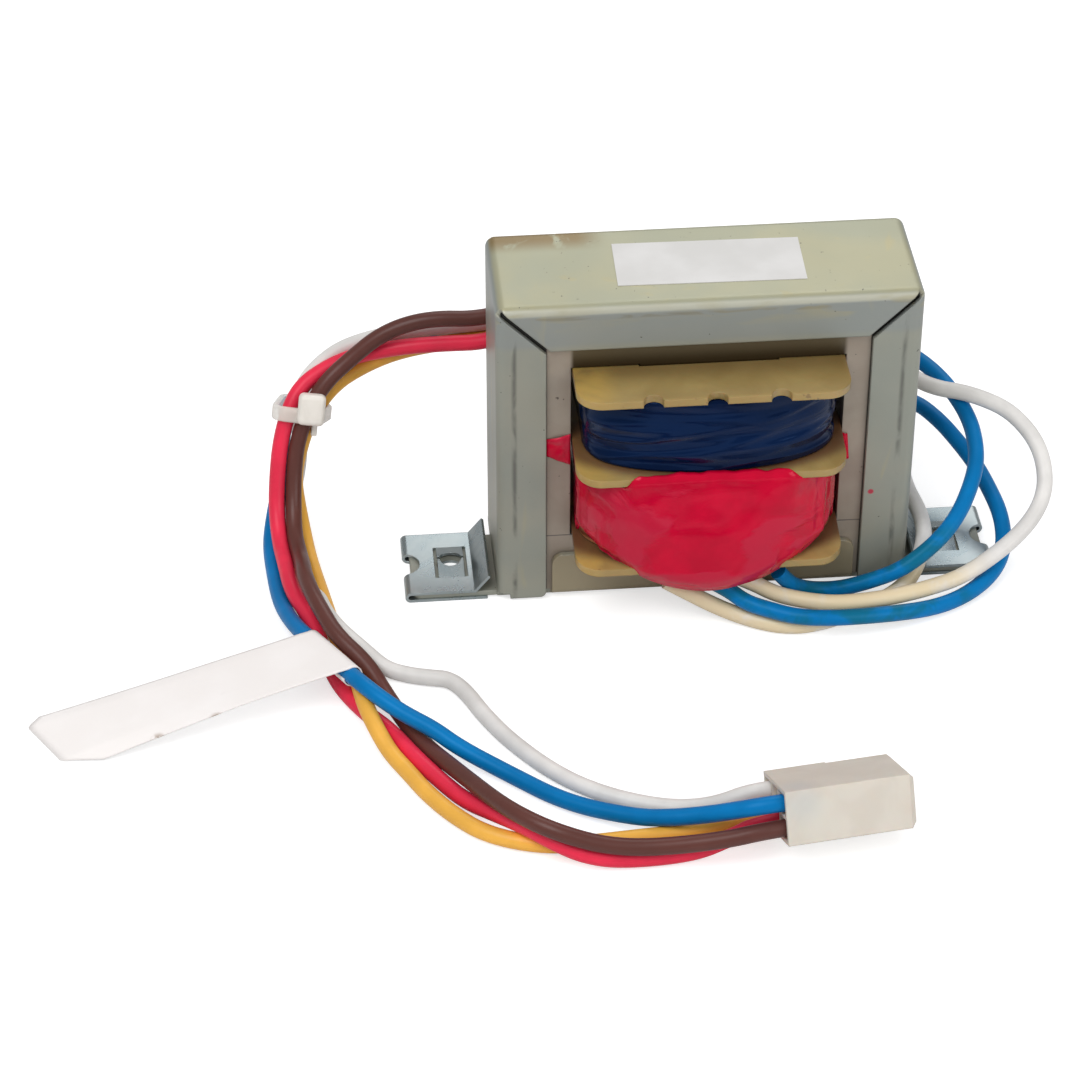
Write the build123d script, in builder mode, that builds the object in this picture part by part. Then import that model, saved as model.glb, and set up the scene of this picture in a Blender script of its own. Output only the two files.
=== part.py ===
"""Spa pack transformer: laminated core in a channel frame, two coils, seven leads and a plug.

X runs along the mounting feet, Y to the rear, Z up. The table is z = 0 and the origin lies
under the middle of the core. All sizes are in millimetres.
"""
import math
import os

from build123d import *

os.makedirs("parts", exist_ok=True)

# Sheet metal and fits
sheet = 0.9
clip_sheet = 0.5
fit = 0.1
gap = 0.2
bend_r = 1.6

# Core stack
core_w = 66.0
core_d = 21.0
limb = 11.0
window_h = 33.0

# Levels built up from the table
base_z = clip_sheet
web_z = base_z + sheet
yoke_z = web_z + limb
back_z = yoke_z + window_h
core_top = back_z + limb
frame_top = core_top + sheet

# Channel frame
frame_w = core_w + 2 * (fit + sheet)
frame_d = core_d + 2 * (fit + sheet)
lip_w = 8.0
window_side = 4.0
mitre_w = 0.9
mitre_len = 11.0
relief = 2.1
lip_corner_r = 1.0

# Base plate and feet
window_half = 2 * limb + window_side
window_top = frame_top - lip_w
lip_gap = 1.0
base_lip_half = window_half - lip_gap
base_lip_h = 8.5
base_lip_top = base_z + base_lip_h
base_lip_r = 2.0
foot_w = 15.4
foot_y = -2.5
foot_reach = 14.0
foot_half = frame_w / 2 + foot_reach
foot_r = 1.5
bolt_inset = 6.75
bolt_x = foot_half - bolt_inset
bolt_r = 2.25

# Clip-on nuts
clip_w = 16.0
clip_fold_r = sheet / 2
clip_end_gap = 0.25
clip_fold_x = foot_half + clip_end_gap
clip_leaf_gap = 1.6
clip_inner_x = frame_w / 2 + clip_leaf_gap
clip_flare_run = 2.4
clip_flare_rise = 3.0
clip_flare_gap = 1.1
clip_flare_x = frame_w / 2 + clip_flare_gap
clip_leaf_x = clip_flare_x + clip_flare_run
clip_flare_z = web_z + clip_flare_rise
clip_notch_r = 2.8
clip_window_x = 5.4
clip_window_y = 8.2
tongue_w = 4.4
tongue_rise = 1.0
tongue_r = 1.8
tongue_root = 0.6
tongue_split = 0.3

# Bobbin
tube_wall = 1.0
flange_t = 1.3
flange_side_gap = 0.25
flange_half_w = 2 * limb - flange_side_gap
flange_half_d = 20.5
flange_r = 4.0
flange_droop = 1.6
lower_coil_h = 16.5
bobbin_z0 = yoke_z + gap
bobbin_z1 = back_z - gap
mid_flange_z = bobbin_z0 + flange_t + lower_coil_h
notch_r = 1.6
notch_pitch = 10.1
notch_x = 0.2

# Coils and tapes
tape_t = 0.4
coil_lead_in = 0.5
coil_y = core_d / 2 + coil_lead_in
upper_side = 1.25
upper_front = 1.5
upper_a = flange_half_w - upper_side
upper_b = flange_half_d - upper_front - coil_y
lower_side = 0.55
lower_rear = 1.0
lower_a = flange_half_w - lower_side
lower_b = flange_half_d - lower_rear - coil_y
upper_z0 = mid_flange_z + flange_t + gap
upper_z1 = bobbin_z1 - flange_t - gap

# Red pouch in front of the lower flange
pouch_out = 3.0
pouch_drop = 3.8
pouch_over = 0.5
pouch_rise = 6.8
pouch_b = flange_half_d + pouch_out - coil_y
pouch_low = bobbin_z0 - pouch_drop
pouch_lap = mid_flange_z + pouch_over
pouch_side = pouch_low + pouch_rise
tuck_a = 14.5
tuck_b = 8.3
tuck_t = 1.7
tuck_sink = 2.4
tuck_in = 4.1
tuck_lift = 0.2
tuck_back = -flange_half_d + tuck_in
tuck_z = pouch_low + tuck_lift

# Lead pad behind the upper coil
pad_x0 = -8.0
pad_x1 = 12.0
pad_out = 2.0
pad_low = 0.4
pad_high = 1.7
pad_step = 2.9
pad_y = flange_half_d + pad_out
pad_z0 = upper_z0 + pad_low
pad_z1 = upper_z1 - pad_high
pad_step_z = pad_z0 + pad_step

# Film tails on the core face
film_t = 0.2
film_edge = 0.1
film_w = window_side - 2 * film_edge
film_h = 4.4
film_drop = 1.7
film_tab_w = 1.3
film_tab_h = 3.8
film_tab_drop = 3.1
film_tab_gap = 0.3

# Rating label
label_l = 30.0
label_w = 12.2
label_t = 0.12
label_x = 0.9
label_turn = -1

# Leads
wire_d = 2.7
bend_share = 0.45
bore_clear = 0.3

# Plug housing
cell = 3.9
cell_margin = 0.35
plug_l = 20.2
plug_yaw = 7.5
plug_roll = 25.0
plug_x = 4.3
plug_y = -81.2
bore_depth = 6.0
contact_r = 1.05
contact_clear = 0.25
contact_start = 2.75
contact_end = 18.0
plug_nose = 0.8
plug_step = 0.5
plug_step_share = 0.48

# Splice cap
cap_d = 7.4
cap_x0 = 24.0
cap_x1 = 7.0
cap_y = 27.15
cap_slot = 2.3
cap_pitch = 2.9
cap_round = 1.2

# Cable tie
tie_t = 1.1
tie_w = 2.5
tie_clear = 0.7
tie_head_l = 5.0
tie_head_w = 4.4
tie_head_t = 3.2
tie_tail = 3.0
tie_origin = (-64.4, 14, 23.1)
tie_hull = [(-1.48, -0.56), (2.14, 0.35), (1.67, 6.06), (-2.5, 2.79)]
tie_head_place = (-0.9, -4.0)
tie_tail_place = (-3.4, -4.2)
tie_head_turn = 82
tie_across = (-0.903, 0.18, 0.39)
tie_along = (-0.43, -0.38, -0.82)

# Flag label
flag_t = 0.3
loop_r = 1.8
loop_start = (-66.9, -20.3, 3.7)
loop_end = (-58.9, -36.8, 7.05)
flag_far_start = (-110.4, -33.2)
flag_far_end = (-103.4, -47.6)
flag_outline = [
    (-40, -10), (-67, -17), (-109, -34.6), (-110.6, -37.4), (-105.1, -46.2), (-98.2, -46.3), (-40, -46),
]

# Lead routes, chosen by hand along the visible wires
brown_route = [
    (-8.25, 20.6, 40), (-15, 20.8, 39.8), (-23, 20.2, 38.6), (-33.7, 18, 36.4), (-43, 18, 37.2),
    (-50.5, 17.8, 35), (-56.8, 16.8, 30), (-60.2, 14.9, 27.2), (-63.1, 13.2, 22.7),
    (-65, 11.2, 18), (-66.2, 9.4, 13), (-66.8, 6.6, 8.6), (-66.9, 2.4, 5.6), (-66.2, -2.6, 5),
    (-65.4, -7, 6.3), (-64.9, -11, 7.2), (-63.8, -16, 7.5), (-62.2, -21, 7.3), (-60, -26, 6.2),
    (-56, -31, 4), (-53, -36.2, 1.6), (-49.2, -47.4, 1.4), (-44, -56.6, 2.9),
    (-38.4, -68.5, 6.2), (-34.2, -74, 7.2), (-29.9, -76.8, 6.8), (-24.2, -77.8, 5),
    (-18.4, -78.3, 4.2), (-11.5, -78.5, 4.4), (-4.4, -78.8, 5.3), (0.9, -78.6, 6.35),
    (6.4, -77.8, 6.35),
]
red_route = [
    (-8.25, 20.6, 36.9), (-15, 20.5, 36.6), (-23, 19.6, 35.4), (-32.5, 18, 31.8), (-41, 18, 32),
    (-48.8, 18.2, 31.5), (-56.5, 19.7, 29), (-61.9, 17.6, 27.4), (-64.8, 16.1, 25.6),
    (-67, 14.1, 23), (-68.6, 11.6, 18.3), (-69.3, 9, 12.7), (-69.7, 6.3, 7.6),
    (-69.6, 1.5, 4.2), (-69, -4.2, 4.4), (-67.8, -11, 4.1), (-65.1, -16.2, 2.5),
    (-63.7, -20.6, 1.4), (-62.6, -27, 1.4), (-61, -33.5, 1.4), (-58.4, -39.6, 1.4),
    (-54.2, -44.6, 1.4), (-50.2, -51, 1.4), (-46.9, -57.3, 1.4), (-43.4, -62.4, 1.5),
    (-38.7, -67.2, 2.9), (-34.5, -72.3, 4.5), (-30.6, -75.6, 4), (-26.2, -77.2, 2.4),
    (-20.5, -77.8, 1.4), (-9.6, -77.2, 1.4), (-3.8, -75.9, 2.9), (0.5, -75.05, 4.7),
    (5.9, -74.35, 4.7),
]
yellow_route = [
    (-8.25, 20.6, 33.8), (-15, 20.6, 33.5), (-24, 19.6, 31.6), (-33.5, 20.9, 29.9),
    (-41, 20.9, 29.5), (-48.5, 20.8, 28.4), (-54.5, 20, 26.7), (-59.2, 18.2, 24.6),
    (-62.4, 15.5, 20.5), (-64.6, 13.1, 15.6), (-66, 11.7, 10.4), (-65.9, 9.6, 5.9),
    (-65.3, 5.8, 2.8), (-64.6, 0.6, 1.5), (-63.2, -7.5, 1.4), (-62.1, -14, 1.4),
    (-61.2, -19.5, 1.4), (-59.7, -25, 1.4), (-58.6, -30.5, 1.5), (-58, -34.5, 2.8),
    (-57.7, -38.2, 4.1), (-57, -42.6, 4.3), (-55.6, -46.6, 3.2), (-53.8, -50.4, 1.7),
    (-51.2, -54.9, 1.4), (-48.8, -59.8, 1.4), (-45, -65.4, 1.4), (-40.2, -70.3, 1.4),
    (-32.5, -73.4, 1.4), (-25.3, -73.6, 1.4), (-19.2, -73.1, 1.4), (-12.7, -72.6, 1.4),
    (-5, -72.2, 1.7), (0, -71.55, 3.06), (5.45, -70.85, 3.06),
]
blue_route = [
    (11.5, -17.8, 8.1), (13.3, -17.4, 5.4), (15.6, -15.9, 3), (18.5, -15.1, 1.8),
    (22.5, -15.1, 1.7), (27, -15.5, 3.2), (31.8, -16.2, 5.6), (35.7, -15.3, 8),
    (39.4, -13.6, 10.5), (42.5, -10.4, 12.5), (44.8, -6.6, 14.6), (46.4, -3, 16.5), (47, 1, 18),
    (46.8, 5.7, 19.5), (45.4, 10.3, 21), (43, 15.8, 22.2), (39.5, 20.5, 23.2), (34, 24, 25),
    (24, 26.4, 27.5), (12, 27.2, 29.5), (0, 27.4, 30.6), (-12, 27, 31.1), (-23, 26.3, 31.1),
    (-34, 24.9, 30.4), (-48, 24.3, 29.6), (-57, 23.8, 26.7), (-62.6, 22.8, 23.8),
    (-66.8, 19.1, 20.4), (-69.7, 16.7, 14.6), (-69.9, 13, 8.5), (-70.5, 9.6, 4.2), (-71, 5, 2),
    (-70.7, -1, 1.4), (-69.9, -10.2, 1.5), (-67.9, -18.2, 2.95), (-65, -24.5, 4.6),
    (-62.7, -29.5, 5.75), (-60.2, -34.5, 6.7), (-57.8, -38.7, 7.1), (-54.6, -41.9, 6.4),
    (-51.1, -44.5, 5.2), (-46.9, -47.6, 3.9), (-43.1, -51, 2.4), (-36, -56.3, 1.4),
    (-27.5, -64.1, 1.4), (-17.6, -69.5, 2.5), (-12.7, -72, 4.2), (-7.6, -73.6, 5.8),
    (-3.4, -75.4, 7.9), (0.7, -76.9, 9.9), (6.2, -76.2, 9.9),
]
white_route = [
    (4.8, -18.2, 7.75), (7.6, -18.4, 6.4), (10.8, -19.1, 4.6), (15, -20.4, 4), (20, -22.2, 4.3),
    (25.3, -22, 4.3), (30.8, -21, 4.2), (36.4, -19, 3.9), (42.5, -16.6, 4), (48.2, -14, 6.2),
    (52, -12.2, 8.3), (55.2, -9.8, 10.4), (57.4, -6.8, 12.7), (58, -3.6, 15.3),
    (57.2, -0.6, 18.3), (55.2, 2.4, 20.5), (52.6, 5.1, 22), (49.2, 6.9, 23), (45.5, 8.8, 23.4),
    (42.2, 10.2, 23.2), (39, 12.8, 23.2), (35.8, 17.4, 24), (30.5, 21.6, 26.5),
    (20, 23.9, 29.4), (8, 24.4, 31), (-4, 24.3, 31.7), (-15, 23.4, 32.1), (-25, 22.9, 32.7),
    (-35, 21.9, 33.1), (-48, 21.2, 32.7), (-56.5, 22.3, 29.8), (-61, 21.6, 26.9),
    (-64.2, 19.3, 24.4), (-65.1, 15.9, 21.4), (-65.7, 17.1, 15.9), (-67.2, 15.4, 9.8),
    (-67.8, 12, 4.8), (-68.1, 6.8, 2), (-67.7, 1, 1.4), (-67, -4.2, 1.5), (-65.9, -8.8, 2.1),
    (-63.6, -12.8, 4.3), (-62.6, -17.6, 4.5), (-60.4, -22.4, 4.5), (-56.8, -26.4, 3.3),
    (-53.6, -29.2, 1.5), (-50, -31, 1.4), (-46.5, -32, 1.4), (-43.4, -32.6, 1.4),
    (-41, -36, 1.4), (-38.6, -42, 1.4), (-34.8, -49, 1.4), (-28.4, -57.4, 1.4),
    (-21.5, -62.8, 1.4), (-14, -66.2, 1.5), (-8.8, -68.2, 2.5), (-4.4, -69.8, 4.6),
    (-0.2, -69.9, 6.6), (5.25, -69.2, 6.6),
]
second_blue_route = [
    (0, -18.6, 7.75), (2.9, -19, 6.2), (5.8, -20.9, 4.5), (9.3, -22.8, 4.3), (13.1, -24.8, 4.2),
    (17.5, -25.7, 4.2), (23, -25.5, 3.9), (30.5, -23.9, 2.9), (37, -21.5, 1.7), (42, -19, 1.5),
    (46.3, -15.7, 1.8), (49.3, -12.4, 2.7), (50.8, -9.2, 4.2), (51.2, -6, 5.7), (51, -2.6, 7),
    (50.2, 1.5, 8), (48.8, 6.5, 9.5), (46.5, 10.6, 11.4), (43.6, 15, 13.4), (40.2, 20.2, 14),
    (36.2, 24.8, 11.6), (31.8, 27.8, 7.4), (27, 28.7, 4.4), (22, 28.6, 3.6),
]
second_white_route = [
    (-7, -18.2, 7.7), (-3.4, -18.8, 5.6), (0.7, -18.9, 2.8), (5.2, -20.7, 1.5), (9.6, -23, 1.4),
    (13.6, -24, 1.4), (18, -23.4, 1.4), (22.5, -21.6, 1.4), (27, -19.4, 1.4),
    (30.9, -17.1, 1.5), (34, -14.6, 2.2), (36, -12.3, 4.6), (37.4, -8.6, 6.6), (37.8, -4, 6.7),
    (37.5, 0.5, 6.6), (36.9, 5, 6.3), (36.9, 10.5, 6.2), (36.5, 16, 5.5), (34.3, 20.6, 4.6),
    (30.5, 23.9, 3.9), (26.5, 25.4, 3.6), (22, 25.7, 3.6),
]


def bend_radii(points):
    """Radius at each inner point so that every bend uses under half of its shorter run."""
    radii = []
    for a, b, c in zip(points[:-2], points[1:-1], points[2:]):
        run_in = Vector(*b) - Vector(*a)
        run_out = Vector(*c) - Vector(*b)
        turn = math.radians(run_in.get_angle(run_out))
        shorter = min(run_in.length, run_out.length)
        radii.append(bend_share * shorter / math.tan(turn / 2))
    return radii


def report_lead(name, part, line, points):
    """Print the smallest bend and how the swept volume compares with section times length."""
    section = math.pi * (wire_d / 2) ** 2
    length = sum(edge.length for edge in line.edges())
    share = part.volume / (section * length)
    radii = [round(r, 1) for r in bend_radii(points)]
    print(name, "length", round(length, 1), "volume", round(share, 4), "radii", radii)


# Channel frame: one strip folded over the core, with lips in front and behind
inner_w = frame_w - 2 * sheet
inner_d = frame_d - 2 * sheet
mitre_reach = (mitre_len - mitre_w) / 2 * math.sqrt(0.5)
with BuildPart() as channel_frame:
    with BuildSketch(Plane.XY.offset(base_z)):
        Rectangle(frame_w, frame_d)
    extrude(amount=frame_top - base_z)
    fillet(channel_frame.edges().filter_by(Axis.Z), bend_r)
    fillet(channel_frame.faces().sort_by(Axis.Z)[-1].edges(), bend_r)
    with BuildSketch(Plane.XY.offset(base_z)):
        Rectangle(inner_w, inner_d)
    extrude(amount=core_top - base_z, mode=Mode.SUBTRACT)
    with BuildSketch(Plane.XZ):
        with Locations((0, (base_z + window_top) / 2)):
            Rectangle(2 * window_half, window_top - base_z)
    extrude(amount=frame_d, both=True, mode=Mode.SUBTRACT)
    for face in (1, -1):
        with BuildSketch(Plane.XZ.offset(face * (inner_d / 2 - gap))):
            for side in (-1, 1):
                with Locations((side * (window_half + mitre_reach), window_top + mitre_reach)):
                    Rectangle(mitre_len, mitre_w, rotation=side * 45)
        extrude(amount=face * frame_d, mode=Mode.SUBTRACT)
    with BuildSketch(Plane.XY.offset(base_z)):
        with Locations((frame_w / 2, 0), (-frame_w / 2, 0)):
            Rectangle(2 * relief, 2 * frame_d)
    extrude(amount=sheet, mode=Mode.SUBTRACT)
    lip_corners = channel_frame.edges().filter_by(Axis.Y).group_by(Axis.Z)[0]
    fillet(lip_corners.filter_by(lambda e: abs(e.center().X) < window_half + fit), lip_corner_r)
channel_frame.part.label = "channel_frame"
export_step(channel_frame.part, "parts/channel_frame.step")

# Base plate: flat web with two feet and two short lips turned up
with BuildPart() as base_plate:
    with BuildSketch(Plane.XY.offset(base_z)):
        Rectangle(2 * base_lip_half, frame_d)
    extrude(amount=base_lip_top - base_z)
    fillet(base_plate.edges().filter_by(Axis.X).group_by(Axis.Z)[0], bend_r)
    fillet(base_plate.edges().filter_by(Axis.Y).group_by(Axis.Z)[-1], base_lip_r)
    with BuildSketch(Plane.XY.offset(web_z)):
        Rectangle(2 * base_lip_half, inner_d)
    extrude(amount=base_lip_top, mode=Mode.SUBTRACT)
    with BuildSketch(Plane.XY.offset(base_z)):
        Rectangle(frame_w, inner_d - 2 * gap)
        with Locations((0, foot_y)):
            RectangleRounded(2 * foot_half, foot_w, foot_r)
    extrude(amount=sheet)
    with BuildSketch(Plane.XY.offset(base_z)):
        with Locations((bolt_x, foot_y), (-bolt_x, foot_y)):
            Circle(bolt_r)
    extrude(amount=sheet, mode=Mode.SUBTRACT)
base_plate.part.label = "base_plate"
export_step(base_plate.part, "parts/base_plate.step")

# Core: the I stack across the bottom and the E stack above it
with BuildPart() as i_lamination_stack:
    with BuildSketch(Plane.XY.offset(web_z)):
        Rectangle(core_w, core_d)
    extrude(amount=limb)
i_lamination_stack.part.label = "i_lamination_stack"
export_step(i_lamination_stack.part, "parts/i_lamination_stack.step")

with BuildPart() as e_lamination_stack:
    with BuildSketch(Plane.XY.offset(yoke_z)):
        Rectangle(core_w, core_d)
    extrude(amount=core_top - yoke_z)
    with BuildSketch(Plane.XZ):
        with Locations((1.5 * limb, yoke_z + window_h / 2), (-1.5 * limb, yoke_z + window_h / 2)):
            Rectangle(limb, window_h)
    extrude(amount=core_d, both=True, mode=Mode.SUBTRACT)
e_lamination_stack.part.label = "e_lamination_stack"
export_step(e_lamination_stack.part, "parts/e_lamination_stack.step")

# Bobbin: square tube with three flanges, the lower two bent down at the front
tube_in_w = 2 * limb + 2 * gap
tube_in_d = core_d + 2 * gap
tube_w = tube_in_w + 2 * tube_wall
tube_d = tube_in_d + 2 * tube_wall
bend_y = -core_d / 2
slope = flange_droop / (flange_half_d + bend_y)


def drooped(z, reach):
    """Front height of a sheet at level z that slopes down in front of the core."""
    return z - slope * (reach + bend_y)


with BuildPart() as bobbin:
    for level in (bobbin_z0, mid_flange_z):
        with BuildSketch(Plane.YZ):
            Polygon(
                (flange_half_d, level),
                (flange_half_d, level + flange_t),
                (bend_y, level + flange_t),
                (-flange_half_d, drooped(level + flange_t, flange_half_d)),
                (-flange_half_d, drooped(level, flange_half_d)),
                (bend_y, level),
                align=None,
            )
        extrude(amount=flange_half_w, both=True)
    with BuildSketch(Plane.XY.offset(bobbin_z1 - flange_t)):
        Rectangle(2 * flange_half_w, 2 * flange_half_d)
    extrude(amount=flange_t)
    front_corners = bobbin.edges().filter_by(Axis.Z).group_by(Axis.Y)[0]
    fillet(front_corners, flange_r)
    with BuildSketch(Plane.XY.offset(bobbin_z0)):
        Rectangle(tube_w, tube_d)
    extrude(amount=bobbin_z1 - bobbin_z0)
    with BuildSketch(Plane.XY.offset(bobbin_z0 - flange_droop)):
        Rectangle(tube_in_w, tube_in_d)
    extrude(amount=bobbin_z1, mode=Mode.SUBTRACT)
    with BuildSketch(Plane.XY.offset(bobbin_z1 - flange_t)):
        with Locations(
            (notch_x - notch_pitch, -flange_half_d),
            (notch_x, -flange_half_d),
            (notch_x + notch_pitch, -flange_half_d),
        ):
            Circle(notch_r)
    extrude(amount=flange_t, mode=Mode.SUBTRACT)
bobbin.part.label = "bobbin"
export_step(bobbin.part, "parts/bobbin.step")

# Upper coil and its blue tape
deep = core_w + frame_top
with BuildPart() as secondary_winding:
    inset = tape_t + gap
    with BuildSketch(Plane.XY.offset(upper_z0 - flange_droop)):
        Rectangle(2 * (upper_a - inset), 2 * coil_y)
        with Locations((0, coil_y), (0, -coil_y)):
            Ellipse(upper_a - inset, upper_b - inset)
        Rectangle(tube_w + 2 * gap, tube_d + 2 * gap, mode=Mode.SUBTRACT)
    extrude(amount=upper_z1 - gap - upper_z0 + flange_droop)
    with BuildSketch(Plane.YZ):
        Polygon(
            (deep, upper_z0),
            (bend_y, upper_z0),
            (-deep, drooped(upper_z0, deep)),
            (-deep, -deep),
            (deep, -deep),
            align=None,
        )
    extrude(amount=deep, both=True, mode=Mode.SUBTRACT)
secondary_winding.part.label = "secondary_winding"
export_step(secondary_winding.part, "parts/secondary_winding.step")

with BuildPart() as secondary_tape:
    with BuildSketch(Plane.XY.offset(upper_z0 - flange_droop)):
        Rectangle(2 * upper_a, 2 * coil_y)
        with Locations((0, coil_y), (0, -coil_y)):
            Ellipse(upper_a, upper_b)
    extrude(amount=upper_z1 - upper_z0 + flange_droop)
    with BuildSketch(Plane.XY.offset(pad_z0)):
        with Locations(((pad_x0 + pad_x1) / 2, (coil_y + pad_y) / 2)):
            Rectangle(pad_x1 - pad_x0, pad_y - coil_y)
    extrude(amount=pad_z1 - pad_z0)
    with BuildSketch(Plane.XY.offset(pad_step_z)):
        with Locations(((pad_x0 + pad_x1) / 2, coil_y + pouch_b / 2)):
            Rectangle(pad_x1 - pad_x0, pouch_b)
    extrude(amount=pad_z1 - pad_step_z)
    with BuildSketch(Plane.YZ):
        Polygon(
            (deep, upper_z0),
            (bend_y, upper_z0),
            (-deep, drooped(upper_z0, deep)),
            (-deep, -deep),
            (deep, -deep),
            align=None,
        )
    extrude(amount=deep, both=True, mode=Mode.SUBTRACT)
    with BuildSketch(Plane.XY):
        Rectangle(2 * (upper_a - tape_t), 2 * coil_y)
        with Locations((0, coil_y), (0, -coil_y)):
            Ellipse(upper_a - tape_t, upper_b - tape_t)
    extrude(amount=deep, mode=Mode.SUBTRACT)
secondary_tape.part.label = "secondary_tape"
export_step(secondary_tape.part, "parts/secondary_tape.step")

# Lower coil and its red tape, pouched over the flange at the front
lower_z0 = bobbin_z0 + flange_t + gap
lower_z1 = mid_flange_z - gap
lip_y = -flange_half_d - gap
with BuildPart() as primary_winding:
    inset = tape_t + gap
    with BuildSketch(Plane.XY.offset(lower_z0 - flange_droop)):
        Rectangle(2 * (lower_a - inset), 2 * coil_y)
        with Locations((0, coil_y), (0, -coil_y)):
            Ellipse(lower_a - inset, lower_b - inset)
        Rectangle(tube_w + 2 * gap, tube_d + 2 * gap, mode=Mode.SUBTRACT)
    extrude(amount=lower_z1 - lower_z0 + flange_droop)
    with BuildSketch(Plane.YZ):
        Polygon(
            (deep, lower_z0),
            (bend_y, lower_z0),
            (-deep, drooped(lower_z0, deep)),
            (-deep, drooped(lower_z1, deep)),
            (bend_y, lower_z1),
            (deep, lower_z1),
            align=None,
        )
    extrude(amount=deep, both=True, mode=Mode.INTERSECT)
primary_winding.part.label = "primary_winding"
export_step(primary_winding.part, "parts/primary_winding.step")

with BuildPart() as primary_tape:
    with BuildSketch(Plane.XY.offset(pouch_low)):
        Rectangle(2 * lower_a, 2 * coil_y)
        with Locations((0, coil_y)):
            Ellipse(lower_a, lower_b)
        with Locations((0, -coil_y)):
            Ellipse(lower_a, pouch_b)
    extrude(amount=pouch_lap - pouch_low)
    with BuildSketch(Plane.YZ):
        Polygon(
            (deep, lower_z0),
            (bend_y, lower_z0),
            (lip_y, drooped(lower_z0, -lip_y)),
            (lip_y, pouch_low),
            (-deep, pouch_low),
            (-deep, pouch_lap),
            (lip_y, pouch_lap),
            (lip_y, drooped(lower_z1, -lip_y)),
            (bend_y, lower_z1),
            (deep, lower_z1),
            align=None,
        )
    extrude(amount=deep, both=True, mode=Mode.INTERSECT)
    with BuildSketch(Plane.XZ.offset(coil_y)):
        with BuildLine():
            ThreePointArc((-lower_a, pouch_side), (0, pouch_low), (lower_a, pouch_side))
            Polyline((lower_a, pouch_side), (deep, pouch_side), (deep, 0), (-deep, 0),
                     (-deep, pouch_side), (-lower_a, pouch_side))
        make_face()
    extrude(amount=deep, mode=Mode.SUBTRACT)
    with BuildSketch(Plane.XY):
        Rectangle(2 * (lower_a - tape_t), 2 * coil_y)
        with Locations((0, coil_y), (0, -coil_y)):
            Ellipse(lower_a - tape_t, lower_b - tape_t)
    extrude(amount=deep, mode=Mode.SUBTRACT)
    with BuildSketch(Plane.XY.offset(tuck_z)):
        with Locations((0, tuck_back + tuck_sink)):
            Ellipse(tuck_a, tuck_b)
        with Locations((0, tuck_back + deep / 2)):
            Rectangle(deep, deep, mode=Mode.SUBTRACT)
    extrude(amount=tuck_t)
primary_tape.part.label = "primary_tape"
export_step(primary_tape.part, "parts/primary_tape.step")

# Insulation film: two loose tails on the core face
with BuildPart() as insulation_film:
    with BuildSketch(Plane.XZ.offset(core_d / 2)):
        with Locations((-(2 * limb + window_half) / 2, mid_flange_z - film_drop)):
            Rectangle(film_w, film_h)
        with Locations((2 * limb + film_tab_gap + film_tab_w / 2, mid_flange_z - film_tab_drop)):
            Rectangle(film_tab_w, film_tab_h)
    extrude(amount=film_t)
insulation_film.part.label = "insulation_film"
export_step(insulation_film.part, "parts/insulation_film.step")

# Clip-on nuts: folded spring sheet over each foot
fold_in = clip_fold_r
fold_out = clip_fold_r + clip_sheet
leaf_z0 = web_z
leaf_z1 = web_z + clip_sheet
fold_z = base_z + fold_in
flare_len = math.hypot(clip_flare_run, clip_flare_rise)
flare_dx = clip_sheet * clip_flare_rise / flare_len
flare_dz = clip_sheet * clip_flare_run / flare_len
leaf_dx = (clip_sheet - flare_dz) * clip_flare_run / clip_flare_rise
with BuildPart() as right_clip_nut:
    with BuildSketch(Plane.XZ.offset(-foot_y)):
        with BuildLine():
            Polyline((clip_fold_x, 0), (clip_inner_x, 0), (clip_inner_x, base_z), (clip_fold_x, base_z))
            ThreePointArc((clip_fold_x, base_z), (clip_fold_x + fold_in, fold_z), (clip_fold_x, leaf_z0))
            Polyline((clip_fold_x, leaf_z0), (clip_leaf_x, leaf_z0), (clip_flare_x, clip_flare_z),
                     (clip_flare_x + flare_dx, clip_flare_z + flare_dz),
                     (clip_leaf_x + flare_dx - leaf_dx, leaf_z1), (clip_fold_x, leaf_z1))
            ThreePointArc((clip_fold_x, leaf_z1), (clip_fold_x + fold_out, fold_z), (clip_fold_x, 0))
        make_face()
    extrude(amount=clip_w / 2, both=True)
    with BuildSketch(Plane.XY):
        with Locations((clip_fold_x + fold_out, foot_y)):
            Circle(clip_notch_r)
    extrude(amount=leaf_z1, mode=Mode.SUBTRACT)
    with BuildSketch(Plane.XY):
        with Locations((bolt_x, foot_y)):
            Circle(bolt_r)
    extrude(amount=base_z, mode=Mode.SUBTRACT)
    with BuildSketch(Plane.XY.offset(web_z)):
        with Locations((bolt_x, foot_y)):
            Rectangle(clip_window_x, clip_window_y)
    extrude(amount=clip_sheet, mode=Mode.SUBTRACT)
    with BuildSketch(Plane.YZ.offset(bolt_x)):
        for side in (-1, 1):
            Polygon(
                (foot_y + side * (clip_window_y / 2 + tongue_root), leaf_z0),
                (foot_y + side * (clip_window_y / 2 + tongue_root), leaf_z1),
                (foot_y + side * clip_window_y / 2, leaf_z1),
                (foot_y + side * tongue_split, leaf_z1 + tongue_rise),
                (foot_y + side * tongue_split, leaf_z0 + tongue_rise),
                (foot_y + side * clip_window_y / 2, leaf_z0),
                align=None,
            )
    extrude(amount=tongue_w / 2, both=True)
    with BuildSketch(Plane.XY.offset(web_z)):
        with Locations((bolt_x, foot_y)):
            Circle(tongue_r)
    extrude(amount=clip_sheet + tongue_rise, mode=Mode.SUBTRACT)
right_clip_nut.part.label = "right_clip_nut"
export_step(right_clip_nut.part, "parts/right_clip_nut.step")

with BuildPart() as left_clip_nut:
    add(mirror(right_clip_nut.part, about=Plane.YZ))
left_clip_nut.part.label = "left_clip_nut"
export_step(left_clip_nut.part, "parts/left_clip_nut.step")

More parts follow.
